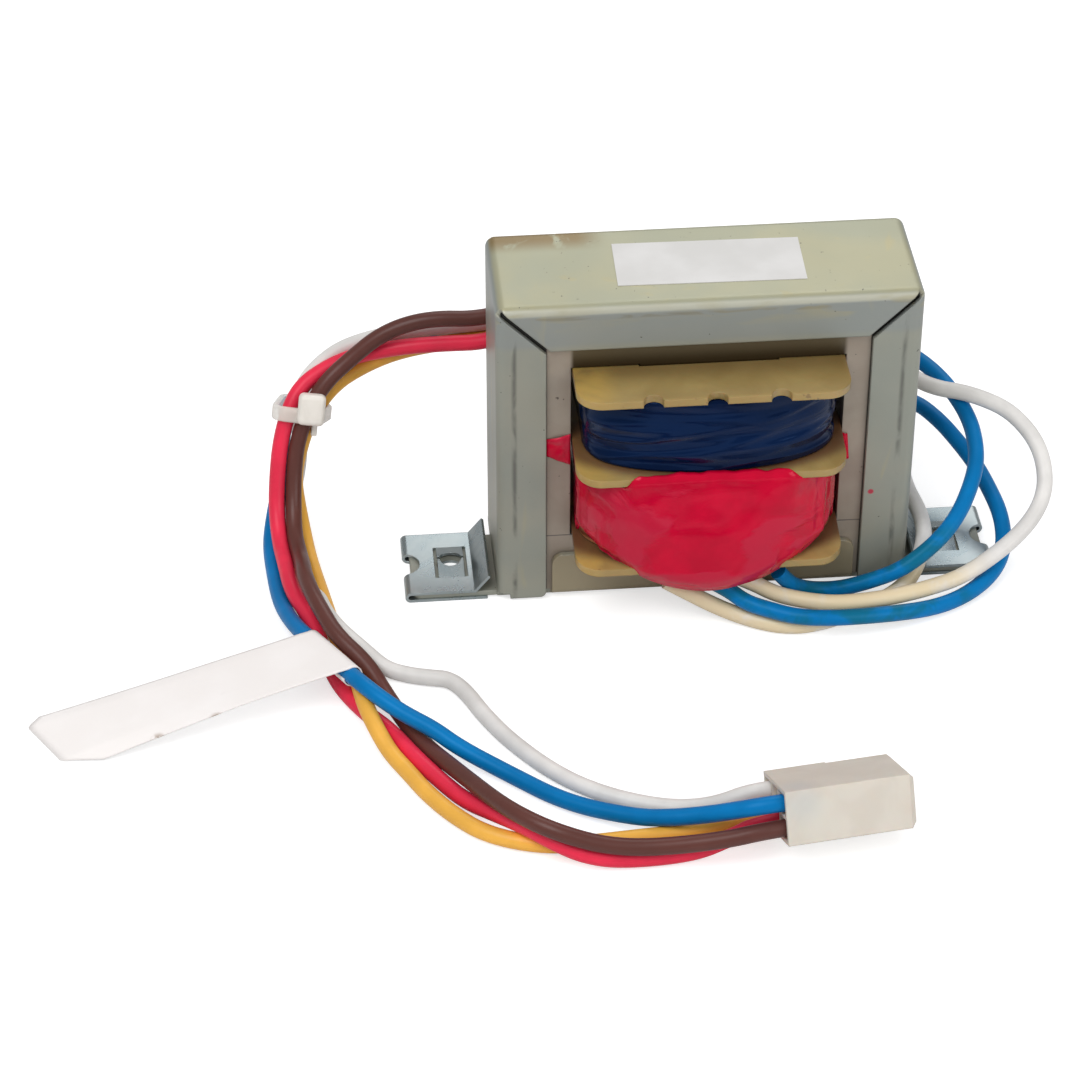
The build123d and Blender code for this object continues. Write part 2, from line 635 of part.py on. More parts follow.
# Rating label: blank paper on the frame's top
with BuildPart() as rating_label:
    with BuildSketch(Plane.XY.offset(frame_top)):
        with Locations((label_x, 0)):
            Rectangle(label_l, label_w, rotation=label_turn)
    extrude(amount=label_t)
rating_label.part.label = "rating_label"
export_step(rating_label.part, "parts/rating_label.step")

# Leads
lead_routes = {
    "brown_lead": brown_route,
    "red_lead": red_route,
    "yellow_lead": yellow_route,
    "blue_lead": blue_route,
    "white_lead": white_route,
    "second_blue_lead": second_blue_route,
    "second_white_lead": second_white_route,
}
for lead_name, route in lead_routes.items():
    with BuildPart() as lead:
        with BuildLine() as lead_line:
            FilletPolyline(*route, radius=bend_radii(route))
        with BuildSketch(Plane(origin=lead_line.line @ 0, z_dir=lead_line.line % 0)):
            Circle(wire_d / 2)
        sweep()
    lead.part.label = lead_name
    export_step(lead.part, f"parts/{lead_name}.step")
    report_lead(lead_name, lead.part, lead_line.line, route)

# Splice cap: closed-end cap on the two joined lead ends behind the coil
with BuildPart() as splice_cap:
    with BuildSketch(Plane(origin=(cap_x0, cap_y, cap_d / 2), x_dir=(0, 1, 0), z_dir=(-1, 0, 0))):
        Circle(cap_d / 2)
    extrude(amount=cap_x0 - cap_x1)
    fillet(splice_cap.faces().sort_by(Axis.X)[0].edges(), cap_round)
    with BuildSketch(Plane(origin=(cap_x0, cap_y, cap_d / 2), x_dir=(0, 1, 0), z_dir=(-1, 0, 0))):
        SlotCenterToCenter(cap_pitch, wire_d + 2 * bore_clear)
    extrude(amount=cap_slot, mode=Mode.SUBTRACT)
splice_cap.part.label = "splice_cap"
export_step(splice_cap.part, "parts/splice_cap.step")

# Plug housing and contacts, lying on its rear bottom edge
yaw = math.radians(plug_yaw)
roll = math.radians(plug_roll)
plug_d = 3 * cell + 2 * cell_margin
plug_h = 2 * cell + 2 * cell_margin
plug_u = (math.cos(yaw), math.sin(yaw), 0)
plug_v = (-math.sin(yaw) * math.cos(roll), math.cos(yaw) * math.cos(roll), -math.sin(roll))
plug_plane = Plane(origin=(plug_x, plug_y, plug_d * math.sin(roll)), x_dir=plug_v, z_dir=plug_u)
cells = []
for column in range(3):
    for row in range(2):
        cells.append((cell_margin + cell * (column + 0.5), cell_margin + cell * (row + 0.5)))
used_cells = [cells[0], cells[1], cells[2], cells[4], cells[5]]
with BuildPart() as connector_housing:
    with BuildSketch(plug_plane):
        Rectangle(plug_d, plug_h, align=(Align.MIN, Align.MIN))
    extrude(amount=plug_l)
    mating_face = connector_housing.faces().sort_by(Axis.X)[-1]
    chamfer(mating_face.edges(), plug_nose)
    with BuildSketch(plug_plane.offset(plug_step_share * plug_l)):
        with Locations((plug_d, plug_h)):
            Rectangle(2 * plug_step, 2 * plug_step)
    extrude(amount=plug_l, mode=Mode.SUBTRACT)
    with BuildSketch(plug_plane):
        with Locations(*cells):
            Rectangle(wire_d + 2 * bore_clear, wire_d + 2 * bore_clear)
    extrude(amount=bore_depth, mode=Mode.SUBTRACT)
    with BuildSketch(plug_plane):
        with Locations(*cells):
            Rectangle(2 * (contact_r + contact_clear), 2 * (contact_r + contact_clear))
    extrude(amount=plug_l, mode=Mode.SUBTRACT)
connector_housing.part.label = "connector_housing"
export_step(connector_housing.part, "parts/connector_housing.step")

with BuildPart() as crimp_terminals:
    with BuildSketch(plug_plane.offset(contact_start)):
        with Locations(*used_cells):
            Circle(contact_r)
    extrude(amount=contact_end - contact_start)
crimp_terminals.part.label = "crimp_terminals"
export_step(crimp_terminals.part, "parts/crimp_terminals.step")

# Cable tie: band round the five left-hand leads, with its head at the front
tie_plane = Plane(origin=tie_origin, x_dir=tie_across, z_dir=tie_along)
with BuildPart() as cable_tie:
    with BuildSketch(tie_plane.offset(-tie_w / 2)):
        Polygon(*tie_hull, align=None)
        offset(amount=wire_d / 2 + tie_clear + tie_t, kind=Kind.ARC)
    extrude(amount=tie_w)
    with BuildSketch(tie_plane.offset(-tie_head_l / 2)):
        with Locations(Location(tie_head_place, tie_head_turn)):
            Rectangle(tie_head_t, tie_head_w)
    extrude(amount=tie_head_l)
    with BuildSketch(tie_plane.offset(-tie_w / 2)):
        with Locations(Location(tie_tail_place, tie_head_turn)):
            Rectangle(tie_t, tie_tail + tie_head_w)
    extrude(amount=tie_w)
    with BuildSketch(tie_plane.offset(-tie_head_l)):
        Polygon(*tie_hull, align=None)
        offset(amount=wire_d / 2 + tie_clear, kind=Kind.ARC)
    extrude(amount=2 * tie_head_l, mode=Mode.SUBTRACT)
cable_tie.part.label = "cable_tie"
export_step(cable_tie.part, "parts/cable_tie.step")

# Flag label: a loop round the blue lead and a doubled tail lying down to the table
loop_a = Vector(*loop_start)
loop_b = Vector(*loop_end)
far_a = Vector(*flag_far_start, flag_t / 2)
far_b = Vector(*flag_far_end, flag_t / 2)
loop_dir = (loop_b - loop_a).normalized()
far_dir = (far_b - far_a).normalized()
near_mid = (loop_a + loop_b) * 0.5
far_mid = (far_a + far_b) * 0.5
run_dir = far_mid - near_mid
near_norm = (run_dir - loop_dir * run_dir.dot(loop_dir)).normalized()
near_mid = near_mid + near_norm * (loop_r + flag_t / 2)
far_run = Vector(run_dir.X, run_dir.Y, 0)
far_norm = (far_run - far_dir * far_run.dot(far_dir)).normalized()
flag_w = (loop_b - loop_a).length
far_w = (far_b - far_a).length
with BuildPart() as flag_label:
    with BuildSketch(Plane(origin=near_mid, x_dir=loop_dir, z_dir=near_norm)):
        Rectangle(flag_w, flag_t)
    with BuildSketch(Plane(origin=far_mid, x_dir=far_dir, z_dir=far_norm)):
        Rectangle(far_w, flag_t)
    loft(ruled=True)
    with BuildSketch(Plane.XY):
        Polygon(*flag_outline, align=None)
    extrude(amount=frame_top, mode=Mode.INTERSECT)
    with BuildSketch(Plane(origin=loop_a, z_dir=loop_dir)):
        Circle(loop_r + flag_t)
    extrude(amount=flag_w)
    with BuildSketch(Plane(origin=loop_a, z_dir=loop_dir)):
        Circle(loop_r)
    extrude(amount=flag_w, mode=Mode.SUBTRACT)
flag_label.part.label = "flag_label"
export_step(flag_label.part, "parts/flag_label.step")
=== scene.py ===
"""Spa pack transformer: materials, tape wraps, leads, labels, light and camera over the CAD frame.

All places are in the row frame: X along the feet, Y to the rear, Z up, the table at z = 0.
Sizes are written in millimetres and turned into metres by MM.
"""
import math

import bmesh
import bpy
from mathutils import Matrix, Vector, noise

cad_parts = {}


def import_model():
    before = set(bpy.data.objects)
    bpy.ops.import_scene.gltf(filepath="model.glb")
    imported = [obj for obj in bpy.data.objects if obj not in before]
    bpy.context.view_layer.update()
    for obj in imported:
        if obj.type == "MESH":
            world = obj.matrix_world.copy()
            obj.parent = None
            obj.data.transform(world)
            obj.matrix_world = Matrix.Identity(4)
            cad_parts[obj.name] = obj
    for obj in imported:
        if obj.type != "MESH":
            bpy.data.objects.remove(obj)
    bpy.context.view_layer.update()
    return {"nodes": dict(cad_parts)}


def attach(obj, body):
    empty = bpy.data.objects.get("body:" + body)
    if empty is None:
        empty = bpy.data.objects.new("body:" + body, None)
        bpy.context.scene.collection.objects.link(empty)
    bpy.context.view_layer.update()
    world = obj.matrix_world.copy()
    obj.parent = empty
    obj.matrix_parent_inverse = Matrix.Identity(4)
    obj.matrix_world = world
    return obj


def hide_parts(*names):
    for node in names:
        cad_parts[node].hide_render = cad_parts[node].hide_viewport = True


MM = 0.001

# Camera, fitted to the photograph
VIEW_AZIMUTH = -5.0127
VIEW_ELEVATION = 37.1333
VIEW_DISTANCE = 598.5
VIEW_TARGET = (-26.0, 0.0, 3.6)
VIEW_LENS = 119.18
VIEW_SENSOR = 36.0
VIEW_CLIP = 10.0

# Studio lamps: name, place, aim, size and power
LAMPS = [
    ("key", (-260, -320, 620), (0, 0, 20), 420, 2.6),
    ("fill", (380, -460, 330), (0, -10, 20), 380, 1.3),
    ("rim", (120, 420, 520), (0, 0, 30), 420, 1.2),
]

# Floor and world: size and depth, then greys and strengths of light
FLOOR_SIZE = 6000.0
FLOOR_DROP = 0.02
FLOOR_SEEN = 0.62
FLOOR_GLOW = 0.62
FLOOR_PLAIN = 0.78
WORLD_EVEN = 0.42
WORLD_SEEN = 1.0

# Frame and core, as in the CAD
CORE_FRONT = 10.5
FRAME_TOP = 57.3
WINDOW_HALF = 26.0
WINDOW_TOP = 49.3
YOKE_Z = 12.4
BASE_LIP_HALF = 25.0
BASE_LIP_TOP = 9.0

# Bobbin
FLANGE_HALF_W = 21.75
FLANGE_FRONT = 20.5
FLANGE_T = 1.3
FLANGE_SLOPE = 0.16
LOW_FLANGE_Z = 12.6
MID_FLANGE_Z = 30.4
TOP_FLANGE_Z = 43.9

# Taped coils
COIL_Y = 11.0
UPPER_A = 20.5
UPPER_B = 8.0
LOWER_A = 21.2
LOWER_B = 8.5
POUCH_B = 12.5
POUCH_LOW = 8.8
POUCH_SIDE = 15.6
PAD_X = (-8.0, 12.0)
PAD_Y = (19.4, 23.4)
PAD_Z = (32.3, 42.0)
TAPE_GAP = 0.2
BLUE_TAPE_T = 0.3
RED_TAPE_T = 0.25

# Blue tape: heights of its folds, how far it stands in and out, and its rows under the top flange
BLUE_FOLD = 0.8
BLUE_CREASE = 0.35
BLUE_INSET = 0.3
BLUE_SIDE_MOST = 0.05
BLUE_FRONT_MOST = 1.35
BLUE_CAP_TUCKS = (1.3, 2.8)

# Red tape: heights of its wrinkles, and how far it stands in and out
RED_FINE = 0.16
RED_BROAD = 0.7
RED_GATHER = 0.5
RED_FRILL = 0.4
RED_INSET = 0.25
RED_MOST = 0.05

# Film tails on the core face: X and Z round each, then their thickness and how far they lift
LEFT_TAIL = [(-25.9, 31.8), (-22.05, 32.6), (-22.05, 26.6), (-25.9, 28.5)]
RIGHT_TAIL = [(22.9, 30.0), (22.1, 30.2), (22.9, 24.9), (23.4, 25.0)]
FILM_TAIL_T = 0.08
FILM_TAIL_REST = 0.12
FILM_TAIL_CURL = 0.45

# Red tape section: rows down its face and reaches of its tucked edge
FACE_STEPS = 24
TUCK_REACH = (1.0, 2.2, 3.6, 5.2)

# Red pouch: half widths over which its lap and mouth fade, then its bend over the flange and its tuck
LAP_FADE = (14.6, 11.8)
MOUTH_FADE = (15.5, 12.5)
LAP_RISE = 0.3
LAP_EDGE_Y = -19.9
LAP_BOW = 0.6
LAP_BOW_X = 13
BEND_Y = -20.95
BEND_DROP = 0.7
FACE_Y = -21.0
FACE_DROP = 1.2
TUCK_Y = -16.6
TUCK_IN = 1.1
TUCK_NARROW = 0.03
TUCK_RISE = 0.12
SIDE_TUCK = 0.35

# Where the red tape sticks and where it lifts, painted paler there as sheen: place and radius
STUCK_PATCHES = [((2.0, -22.0, 25.5), 8.5), ((2.5, -23.5, 15.0), 5.0), ((-17.0, -17.5, 16.0), 4.0)]
LOOSE_PATCHES = [((-9.5, -21.5, 19.0), 8.0), ((9.5, -21.5, 17.0), 7.0), ((0.0, -23.0, 11.0), 4.0)]

# Leads
WIRE_D = 2.7

# Cable tie
TIE_CENTRE = (-64.5, 13.7, 22.3)
TIE_AXIS = (-0.14, -0.40, -0.905)
TIE_SIDE = (-0.985, 0.06, 0.12)
TIE_HULL = [(-1.09, -0.63), (2.28, 0.11), (1.3, 7.4), (-2.07, 2.79)]
TIE_CLEAR = 0.45
TIE_T = 1.0
TIE_W = 2.5
TIE_EDGE = 0.25
HEAD_PLACE = (-63.0, 10.8, 25.0)
HEAD_SIZE = (4.5, 3.2, 5.2)
HEAD_ROUND = 0.9
TAIL_PLACE = (-62.7, 13.0, 19.5)
TAIL_SIZE = (1.0, 2.2, 2.2)
TAIL_ROUND = 0.3

# Paper flag on the blue lead
LOOP_A = (-65.2, -23.8, 4.0)
LOOP_B = (-58.9, -36.8, 6.5)
LOOP_R = 1.6
LOOP_FROM = 100
LOOP_SWEEP = 290
FLAG_T = 0.22
FLAG_LEAVE = 0.3
FLAG_LIFT = 0.06
FLAG_WAVE = 0.2
FLAG_BOW = 0.8
FLAG_SAG = 0.2
FLAG_FAR = [(-108.8, -35.2, 0.35), (-110.5, -37.6, 0.35), (-105.2, -46.1, 0.35), (-98.4, -46.4, 0.35)]
FLAG_SMEARS = [(-89.8, -44.6, 2.1), (-80.5, -42.6, 4.0)]

# Marks seen on the frame: a red fleck, and how far out the dark broken line on each side runs
LIP_FLECK = (27.2, -11.5, 18.7)
SIDE_LINE_X = 31.1

# Lead routes along the CAD tubes, with some points on the left moved
BROWN_ROUTE = [
    (-8.25, 20.6, 40), (-15, 20.8, 39.8), (-23, 20.2, 38.6), (-33.7, 18, 36.4), (-43, 18, 37.2),
    (-50.5, 17.8, 35), (-56.8, 16.8, 30), (-60.7, 14.9, 27.2), (-63.8, 13.2, 22.6),
    (-65.7, 11.2, 18), (-66.5, 9.4, 13), (-66.8, 6.6, 8.6), (-66.9, 2.4, 5.6), (-66.2, -2.6, 5),
    (-65.8, -7, 6.3), (-65.6, -11, 7.2), (-64.6, -16, 7.5), (-63.1, -21, 7.3), (-61, -26, 6.2),
    (-56.3, -31, 4.1), (-53.7, -36.2, 1.6), (-49.2, -47.4, 1.4), (-44, -56.6, 2.9),
    (-38.4, -68.5, 6.2), (-34.2, -74, 7.2), (-29.9, -76.8, 6.8), (-24.2, -77.8, 5),
    (-18.4, -78.3, 4.2), (-11.5, -78.5, 4.4), (-4.4, -78.8, 5.3), (0.9, -78.6, 6.35),
    (6.4, -77.8, 6.35),
]
RED_ROUTE = [
    (-8.25, 20.6, 36.9), (-15, 20.5, 36.6), (-23, 19.6, 35.4), (-32.5, 18, 31.8), (-41, 18, 32),
    (-48.8, 18.2, 31.5), (-56.5, 19.7, 29), (-61.9, 17.6, 27.4), (-64.8, 16.1, 25.6),
    (-66.7, 14.1, 23), (-68.4, 11.7, 18.3), (-69.3, 9, 12.7), (-69.7, 6.3, 7.6),
    (-69.3, 1.5, 4.2), (-68.6, -4.2, 4.4), (-67.8, -11, 4.1), (-65.1, -16.2, 2.5),
    (-63.7, -20.6, 1.4), (-62.6, -27, 1.4), (-60.7, -33.5, 1.4), (-57.4, -39.6, 1.4),
    (-53.5, -44.6, 1.4), (-50.2, -51, 1.4), (-46.4, -57.3, 1.4), (-42.9, -62.4, 1.5),
    (-38.7, -67.2, 2.9), (-34.5, -72.3, 4.5), (-30.6, -75.6, 4), (-26.2, -77.2, 2.4),
    (-20.5, -77.8, 1.4), (-9.6, -77.2, 1.4), (-3.8, -75.9, 2.9), (0.5, -75.05, 4.7),
    (5.9, -74.35, 4.7),
]
YELLOW_ROUTE = [
    (-8.25, 20.6, 33.8), (-15, 20.6, 33.5), (-24, 19.6, 31.6), (-33.5, 20.9, 30.6),
    (-41, 20.9, 30.2), (-48.5, 20.8, 28.9), (-54.5, 20, 26.7), (-59.2, 18.2, 24.6),
    (-63.2, 15.7, 20.3), (-65.3, 13.7, 15.2), (-66.5, 12, 10.2), (-66, 9.7, 5.9),
    (-65.3, 5.8, 2.8), (-64.6, 0.6, 1.5), (-63.2, -7.5, 1.4), (-62.1, -14, 1.4),
    (-61.2, -19.5, 1.4), (-59.7, -25, 1.4), (-58.6, -30.5, 1.5), (-58, -34.5, 3.4),
    (-57.7, -38.2, 4.2), (-57, -42.6, 4.3), (-55.6, -46.6, 3.2), (-53.8, -50.4, 1.7),
    (-51.2, -54.9, 1.4), (-48.8, -59.8, 1.4), (-45, -65.4, 1.4), (-40.2, -70.3, 1.4),
    (-32.5, -73.4, 1.4), (-25.3, -73.6, 1.4), (-19.2, -73.1, 1.4), (-12.7, -72.6, 1.4),
    (-5, -72.2, 1.7), (0, -71.55, 3.06), (5.45, -70.85, 3.06),
]
BLUE_ROUTE = [
    (11.5, -17.8, 8.1), (13.3, -17.4, 5.4), (15.6, -15.9, 3), (18.5, -15.1, 1.8),
    (22.5, -15.1, 1.7), (27, -15.5, 3.2), (31.8, -16.2, 5.6), (35.7, -15.3, 8),
    (39.4, -13.6, 10.5), (42.5, -10.4, 12.5), (44.8, -6.6, 14.6), (46.4, -3, 16.5), (47, 1, 18),
    (46.8, 5.7, 19.5), (45.4, 10.3, 21), (43, 15.8, 22.2), (39.5, 20.5, 23.2), (34, 24, 25),
    (24, 26.4, 27.5), (12, 27.2, 29.5), (0, 27.4, 30.6), (-12, 27, 31.1), (-23, 26.3, 31.1),
    (-34, 24.9, 30.4), (-48, 24.3, 29.6), (-57, 23.8, 26.7), (-62.6, 22.8, 23.8),
    (-65.8, 20.8, 20), (-68.3, 18.6, 14.4), (-68.8, 13.2, 8.3), (-70.2, 9.7, 4.2), (-71, 5, 2),
    (-70.7, -1, 1.4), (-69.9, -10.2, 1.5), (-67.9, -18.2, 2.95), (-65, -24.5, 4.3),
    (-62.7, -29.5, 5.2), (-60.2, -34.5, 6.2), (-57.8, -39.2, 7.1), (-54.6, -42.8, 6.4),
    (-51.1, -45.4, 5.2), (-46.9, -48.3, 4.4), (-43.1, -51.4, 2.9), (-36, -56.3, 1.4),
    (-27.5, -64.1, 1.4), (-17.6, -69.5, 2.5), (-12.7, -72, 4.2), (-7.6, -73.6, 5.8),
    (-3.4, -75.4, 7.9), (0.7, -76.9, 9.9), (6.2, -76.2, 9.9),
]
WHITE_ROUTE = [
    (4.8, -18.2, 7.75), (7.6, -18.4, 6.4), (10.8, -19.1, 4.6), (15, -20.4, 4), (20, -22.2, 4.3),
    (25.3, -22, 4.3), (30.8, -21, 4.2), (36.4, -19, 3.9), (42.5, -16.6, 4), (48.2, -14, 6.2),
    (52, -12.2, 8.3), (55.2, -9.8, 10.4), (57.4, -6.8, 12.7), (58, -3.6, 15.3),
    (57.2, -0.6, 18.3), (55.2, 2.4, 20.5), (52.6, 5.1, 22), (49.2, 6.9, 23), (45.5, 8.8, 23.4),
    (42.2, 10.2, 23.2), (39, 12.8, 23.2), (35.8, 17.4, 24), (30.5, 21.6, 26.5),
    (20, 23.9, 29.4), (8, 24.4, 31), (-4, 24.3, 31.7), (-15, 23.4, 32.1), (-25, 22.9, 32.7),
    (-35, 21.9, 33.1), (-48, 21.2, 32.7), (-56.5, 22.3, 29.8), (-61, 21.6, 26.9),
    (-64.2, 19.3, 24.4), (-65.3, 17.1, 21.3), (-65, 17.7, 15.7), (-65.6, 15.4, 9.8),
    (-67.4, 12.1, 4.7), (-68.1, 6.8, 2), (-67.7, 1, 1.4), (-67, -4.2, 1.5), (-65.9, -8.8, 2.1),
    (-63.6, -12.8, 4.3), (-62.6, -17.6, 4.5), (-60.4, -22.4, 4.5), (-56.8, -26.4, 3.3),
    (-53.6, -29.2, 1.5), (-50, -31, 1.4), (-46.5, -32, 1.4), (-43.4, -32.6, 1.4),
    (-41, -36, 1.4), (-38.6, -42, 1.4), (-34.8, -49, 1.4), (-28.4, -57.4, 1.4),
    (-21.5, -62.8, 1.4), (-14, -66.2, 1.5), (-8.8, -68.2, 2.5), (-4.4, -69.8, 4.6),
    (-0.2, -69.9, 6.6), (5.25, -69.2, 6.6),
]
SECOND_BLUE_ROUTE = [
    (0, -18.6, 7.75), (2.9, -19, 6.2), (5.8, -20.9, 4.5), (9.3, -22.8, 4.3), (13.1, -24.8, 4.2),
    (17.5, -25.7, 4.2), (23, -25.5, 3.9), (30.5, -23.9, 2.9), (37, -21.5, 1.7), (42, -19, 1.5),
    (46.3, -15.7, 1.8), (49.3, -12.4, 2.7), (50.8, -9.2, 4.2), (51.2, -6, 5.7), (51, -2.6, 7),
    (50.2, 1.5, 8), (48.8, 6.5, 9.5), (46.5, 10.6, 11.4), (43.6, 15, 13.4), (40.2, 20.2, 14),
    (36.2, 24.8, 11.6), (31.8, 27.8, 7.4), (27, 28.7, 4.4), (22, 28.6, 3.6),
]
SECOND_WHITE_ROUTE = [
    (-7, -18.2, 7.7), (-3.4, -18.8, 5.6), (0.7, -18.9, 2.8), (5.2, -20.7, 1.5), (9.6, -23, 1.4),
    (13.6, -24, 1.4), (18, -23.4, 1.4), (22.5, -21.6, 1.4), (27, -19.4, 1.4),
    (30.9, -17.1, 1.5), (34, -14.6, 2.2), (36, -12.3, 4.6), (37.4, -8.6, 6.6), (37.8, -4, 6.7),
    (37.5, 0.5, 6.6), (36.9, 5, 6.3), (36.9, 10.5, 6.2), (36.5, 16, 5.5), (34.3, 20.6, 4.6),
    (30.5, 23.9, 3.9), (26.5, 25.4, 3.6), (22, 25.7, 3.6),
]

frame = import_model()


# Node helpers


def metres(point):
    """A point in millimetres as a vector in metres."""
    return Vector(point) * MM


def add(tree, kind, inputs=None, **settings):
    """A new shader node; an input given as a socket is linked, and any other is set."""
    made = tree.nodes.new(kind)
    for key, value in settings.items():
        setattr(made, key, value)
    for key, value in (inputs or {}).items():
        socket = made.inputs[key]
        if isinstance(value, bpy.types.NodeSocket):
            tree.links.new(value, socket)
        else:
            socket.default_value = value
    return made


def start_material(name, **sockets):
    """A Principled material with its constant sockets set; gives material, tree, shader and coordinates."""
    material = bpy.data.materials.new(name)
    material.use_nodes = True
    tree = material.node_tree
    shader = tree.nodes["Principled BSDF"]
    for key, value in sockets.items():
        shader.inputs[key.replace("_", " ")].default_value = value
    place = add(tree, "ShaderNodeTexCoord").outputs["Object"]
    return material, tree, shader, place


def paint(tree, shader, color):
    """Link a colour to the shader's base."""
    tree.links.new(color, shader.inputs["Base Color"])


def stretched(tree, place, scale):
    """Coordinates multiplied along each axis, for grain that runs one way."""
    return add(tree, "ShaderNodeMapping", {"Vector": place, "Scale": scale}).outputs["Vector"]


def grain(tree, place, scale, detail=4.0, distortion=0.0, kind="FBM"):
    """Noise from 0 to 1 at so many cycles a metre."""
    inputs = {"Vector": place, "Scale": scale, "Detail": detail, "Distortion": distortion}
    return add(tree, "ShaderNodeTexNoise", inputs, noise_type=kind).outputs[0]


def step(tree, value, low, high):
    """0 below low, 1 above high, and a smooth rise between them."""
    inputs = {"Value": value, "From Min": low, "From Max": high}
    return add(tree, "ShaderNodeMapRange", inputs, interpolation_type="SMOOTHSTEP").outputs["Result"]


def level(tree, value, low, high):
    """As step, with its limits in millimetres."""
    return step(tree, value, low * MM, high * MM)


def spread(tree, value, low, high):
    """A 0 to 1 value spread between two limits."""
    return add(tree, "ShaderNodeMapRange", {"Value": value, "To Min": low, "To Max": high}).outputs[0]


def math_node(tree, operation, a, b=0.0):
    """The result of one operation on two values."""
    return add(tree, "ShaderNodeMath", {0: a, 1: b}, operation=operation).outputs[0]


def product(tree, *factors):
    """All factors multiplied together."""
    result = factors[0]
    for factor in factors[1:]:
        result = math_node(tree, "MULTIPLY", result, factor)
    return result


def band(tree, value, start, full, fade, end):
    """1 from full to fade, falling to 0 at start and at end; limits in millimetres."""
    return product(tree, level(tree, value, start, full), level(tree, value, end, fade))


def blend(tree, share, first, second):
    """Colour mix; each colour is a tuple or a socket."""
    colors = [c if isinstance(c, bpy.types.NodeSocket) else (*c, 1.0) for c in (first, second)]
    return add(tree, "ShaderNodeMix", {0: share, 6: colors[0], 7: colors[1]}, data_type="RGBA").outputs[2]


def layered(tree, color, layers):
    """A base colour with more colours over it in turn, each where its mask is 1."""
    for mask, tone in layers:
        color = blend(tree, mask, color, tone)
    return color


def axes(tree, place):
    """The X, Y and Z of a place."""
    return add(tree, "ShaderNodeSeparateXYZ", {"Vector": place}).outputs


def near_point(tree, place, point, inner, outer):
    """1 within inner millimetres of a point, fading to 0 at outer."""
    inputs = {0: place, 1: metres(point)}
    reach = add(tree, "ShaderNodeVectorMath", inputs, operation="DISTANCE").outputs["Value"]
    return level(tree, reach, outer, inner)


def bump(tree, shader, height, distance, strength=1.0, edge=0.0):
    """Surface relief, over softened edges where an edge radius is given."""
    inputs = {"Height": height, "Distance": distance * MM, "Strength": strength}
    if edge:
        inputs["Normal"] = add(tree, "ShaderNodeBevel", {"Radius": edge * MM}, samples=6).outputs[0]
    tree.links.new(add(tree, "ShaderNodeBump", inputs).outputs[0], shader.inputs["Normal"])


# Materials


def varnished_zinc():
    """Zinc-plated sheet dipped in varnish: grey-green, yellower on top and painted lighter there as light
    from above, a dark broken line near each side bend, and a painted highlight along the front top bend.
    """
    material, tree, shader, place = start_material(
        "varnished_zinc", Metallic=0.3, Coat_Weight=0.2, Coat_Roughness=0.3
    )
    x, y, z = axes(tree, place)
    side = math_node(tree, "ABSOLUTE", x)
    front = level(tree, y, 0.4 - CORE_FRONT, -CORE_FRONT)
    top = level(tree, z, FRAME_TOP - 0.7, FRAME_TOP - 0.1)
    cloud = grain(tree, place, 70.0, 5.0)
    base = blend(tree, step(tree, cloud, 0.35, 0.7), (0.275, 0.29, 0.25), (0.315, 0.315, 0.26))
    cover = step(tree, grain(tree, place, 45.0, 5.0, 0.6), 0.35, 0.65)
    # Top face colour: a varnish tint, and also painted lighter as light falling from above.
    top_varnish_and_light = blend(tree, cover, (0.345, 0.35, 0.25), (0.385, 0.37, 0.24))
    crown = product(tree, level(tree, z, WINDOW_TOP, WINDOW_TOP + 1.5), 0.6)
    runs = step(tree, grain(tree, stretched(tree, place, (1.0, 1.0, 0.25)), 160.0, 3.0, 0.8), 0.62, 0.75)
    below = level(tree, z, FRAME_TOP - 3.5, FRAME_TOP - 6.0)
    # A dark broken line down the front face near each side bend.
    line = band(tree, side, SIDE_LINE_X - 0.6, SIDE_LINE_X, SIDE_LINE_X, SIDE_LINE_X + 0.7)
    line_breaks = step(tree, grain(tree, stretched(tree, place, (1.0, 1.0, 0.3)), 420.0, 5.0, 0.4), 0.38, 0.62)
    # Painted highlight: a pale band along the front top bend.
    fold = band(tree, z, FRAME_TOP - 1.6, FRAME_TOP - 1.1, FRAME_TOP - 0.6, FRAME_TOP - 0.2)
    worn = step(tree, grain(tree, stretched(tree, place, (0.2, 1.0, 1.0)), 500.0, 5.0, 0.5), 0.45, 0.6)
    # A dark rough line just under the front bend.
    bend_foot_line = band(tree, z, FRAME_TOP - 2.5, FRAME_TOP - 2.1, FRAME_TOP - 1.9, FRAME_TOP - 1.6)
    wiped = level(tree, z, FRAME_TOP - 5.5, FRAME_TOP - 2.5)
    specks = step(tree, grain(tree, place, 1300.0, 2.0), 0.735, 0.765)
    left = level(tree, x, -14.0, -20.0)
    rear = level(tree, y, 4.5, 9.0)
    stain = step(tree, grain(tree, place, 230.0, 6.0, 0.5), 0.36, 0.52)
    base_lip = level(tree, z, BASE_LIP_TOP + 0.3, BASE_LIP_TOP - 0.4)
    between = level(tree, side, BASE_LIP_HALF + 0.3, BASE_LIP_HALF)
    paint(tree, shader, layered(tree, base, [
        (crown, (0.245, 0.27, 0.27)),
        (top, top_varnish_and_light),
        (product(tree, runs, 0.35), (0.46, 0.38, 0.17)),
        (product(tree, line, line_breaks, below, 0.75), (0.085, 0.085, 0.075)),
        (product(tree, front, fold, 0.75), (0.50, 0.49, 0.39)),
        (product(tree, front, worn, bend_foot_line, 0.6), (0.15, 0.14, 0.11)),
        (product(tree, front, wiped, cover, worn, 0.6), (0.36, 0.325, 0.19)),
        (specks, (0.07, 0.065, 0.055)),
        (product(tree, left, rear, top, stain, 0.9), (0.215, 0.14, 0.045)),
        (product(tree, base_lip, between, 0.6), (0.33, 0.245, 0.12)),
        (near_point(tree, place, LIP_FLECK, 0.35, 0.6), (0.45, 0.03, 0.06)),
    ]))
    tree.links.new(spread(tree, cloud, 0.36, 0.56), shader.inputs["Roughness"])
    relief = math_node(tree, "ADD", grain(tree, place, 240.0, 5.0), product(tree, runs, 0.6))
    bump(tree, shader, relief, 0.1, 0.3, edge=0.35)
    return material


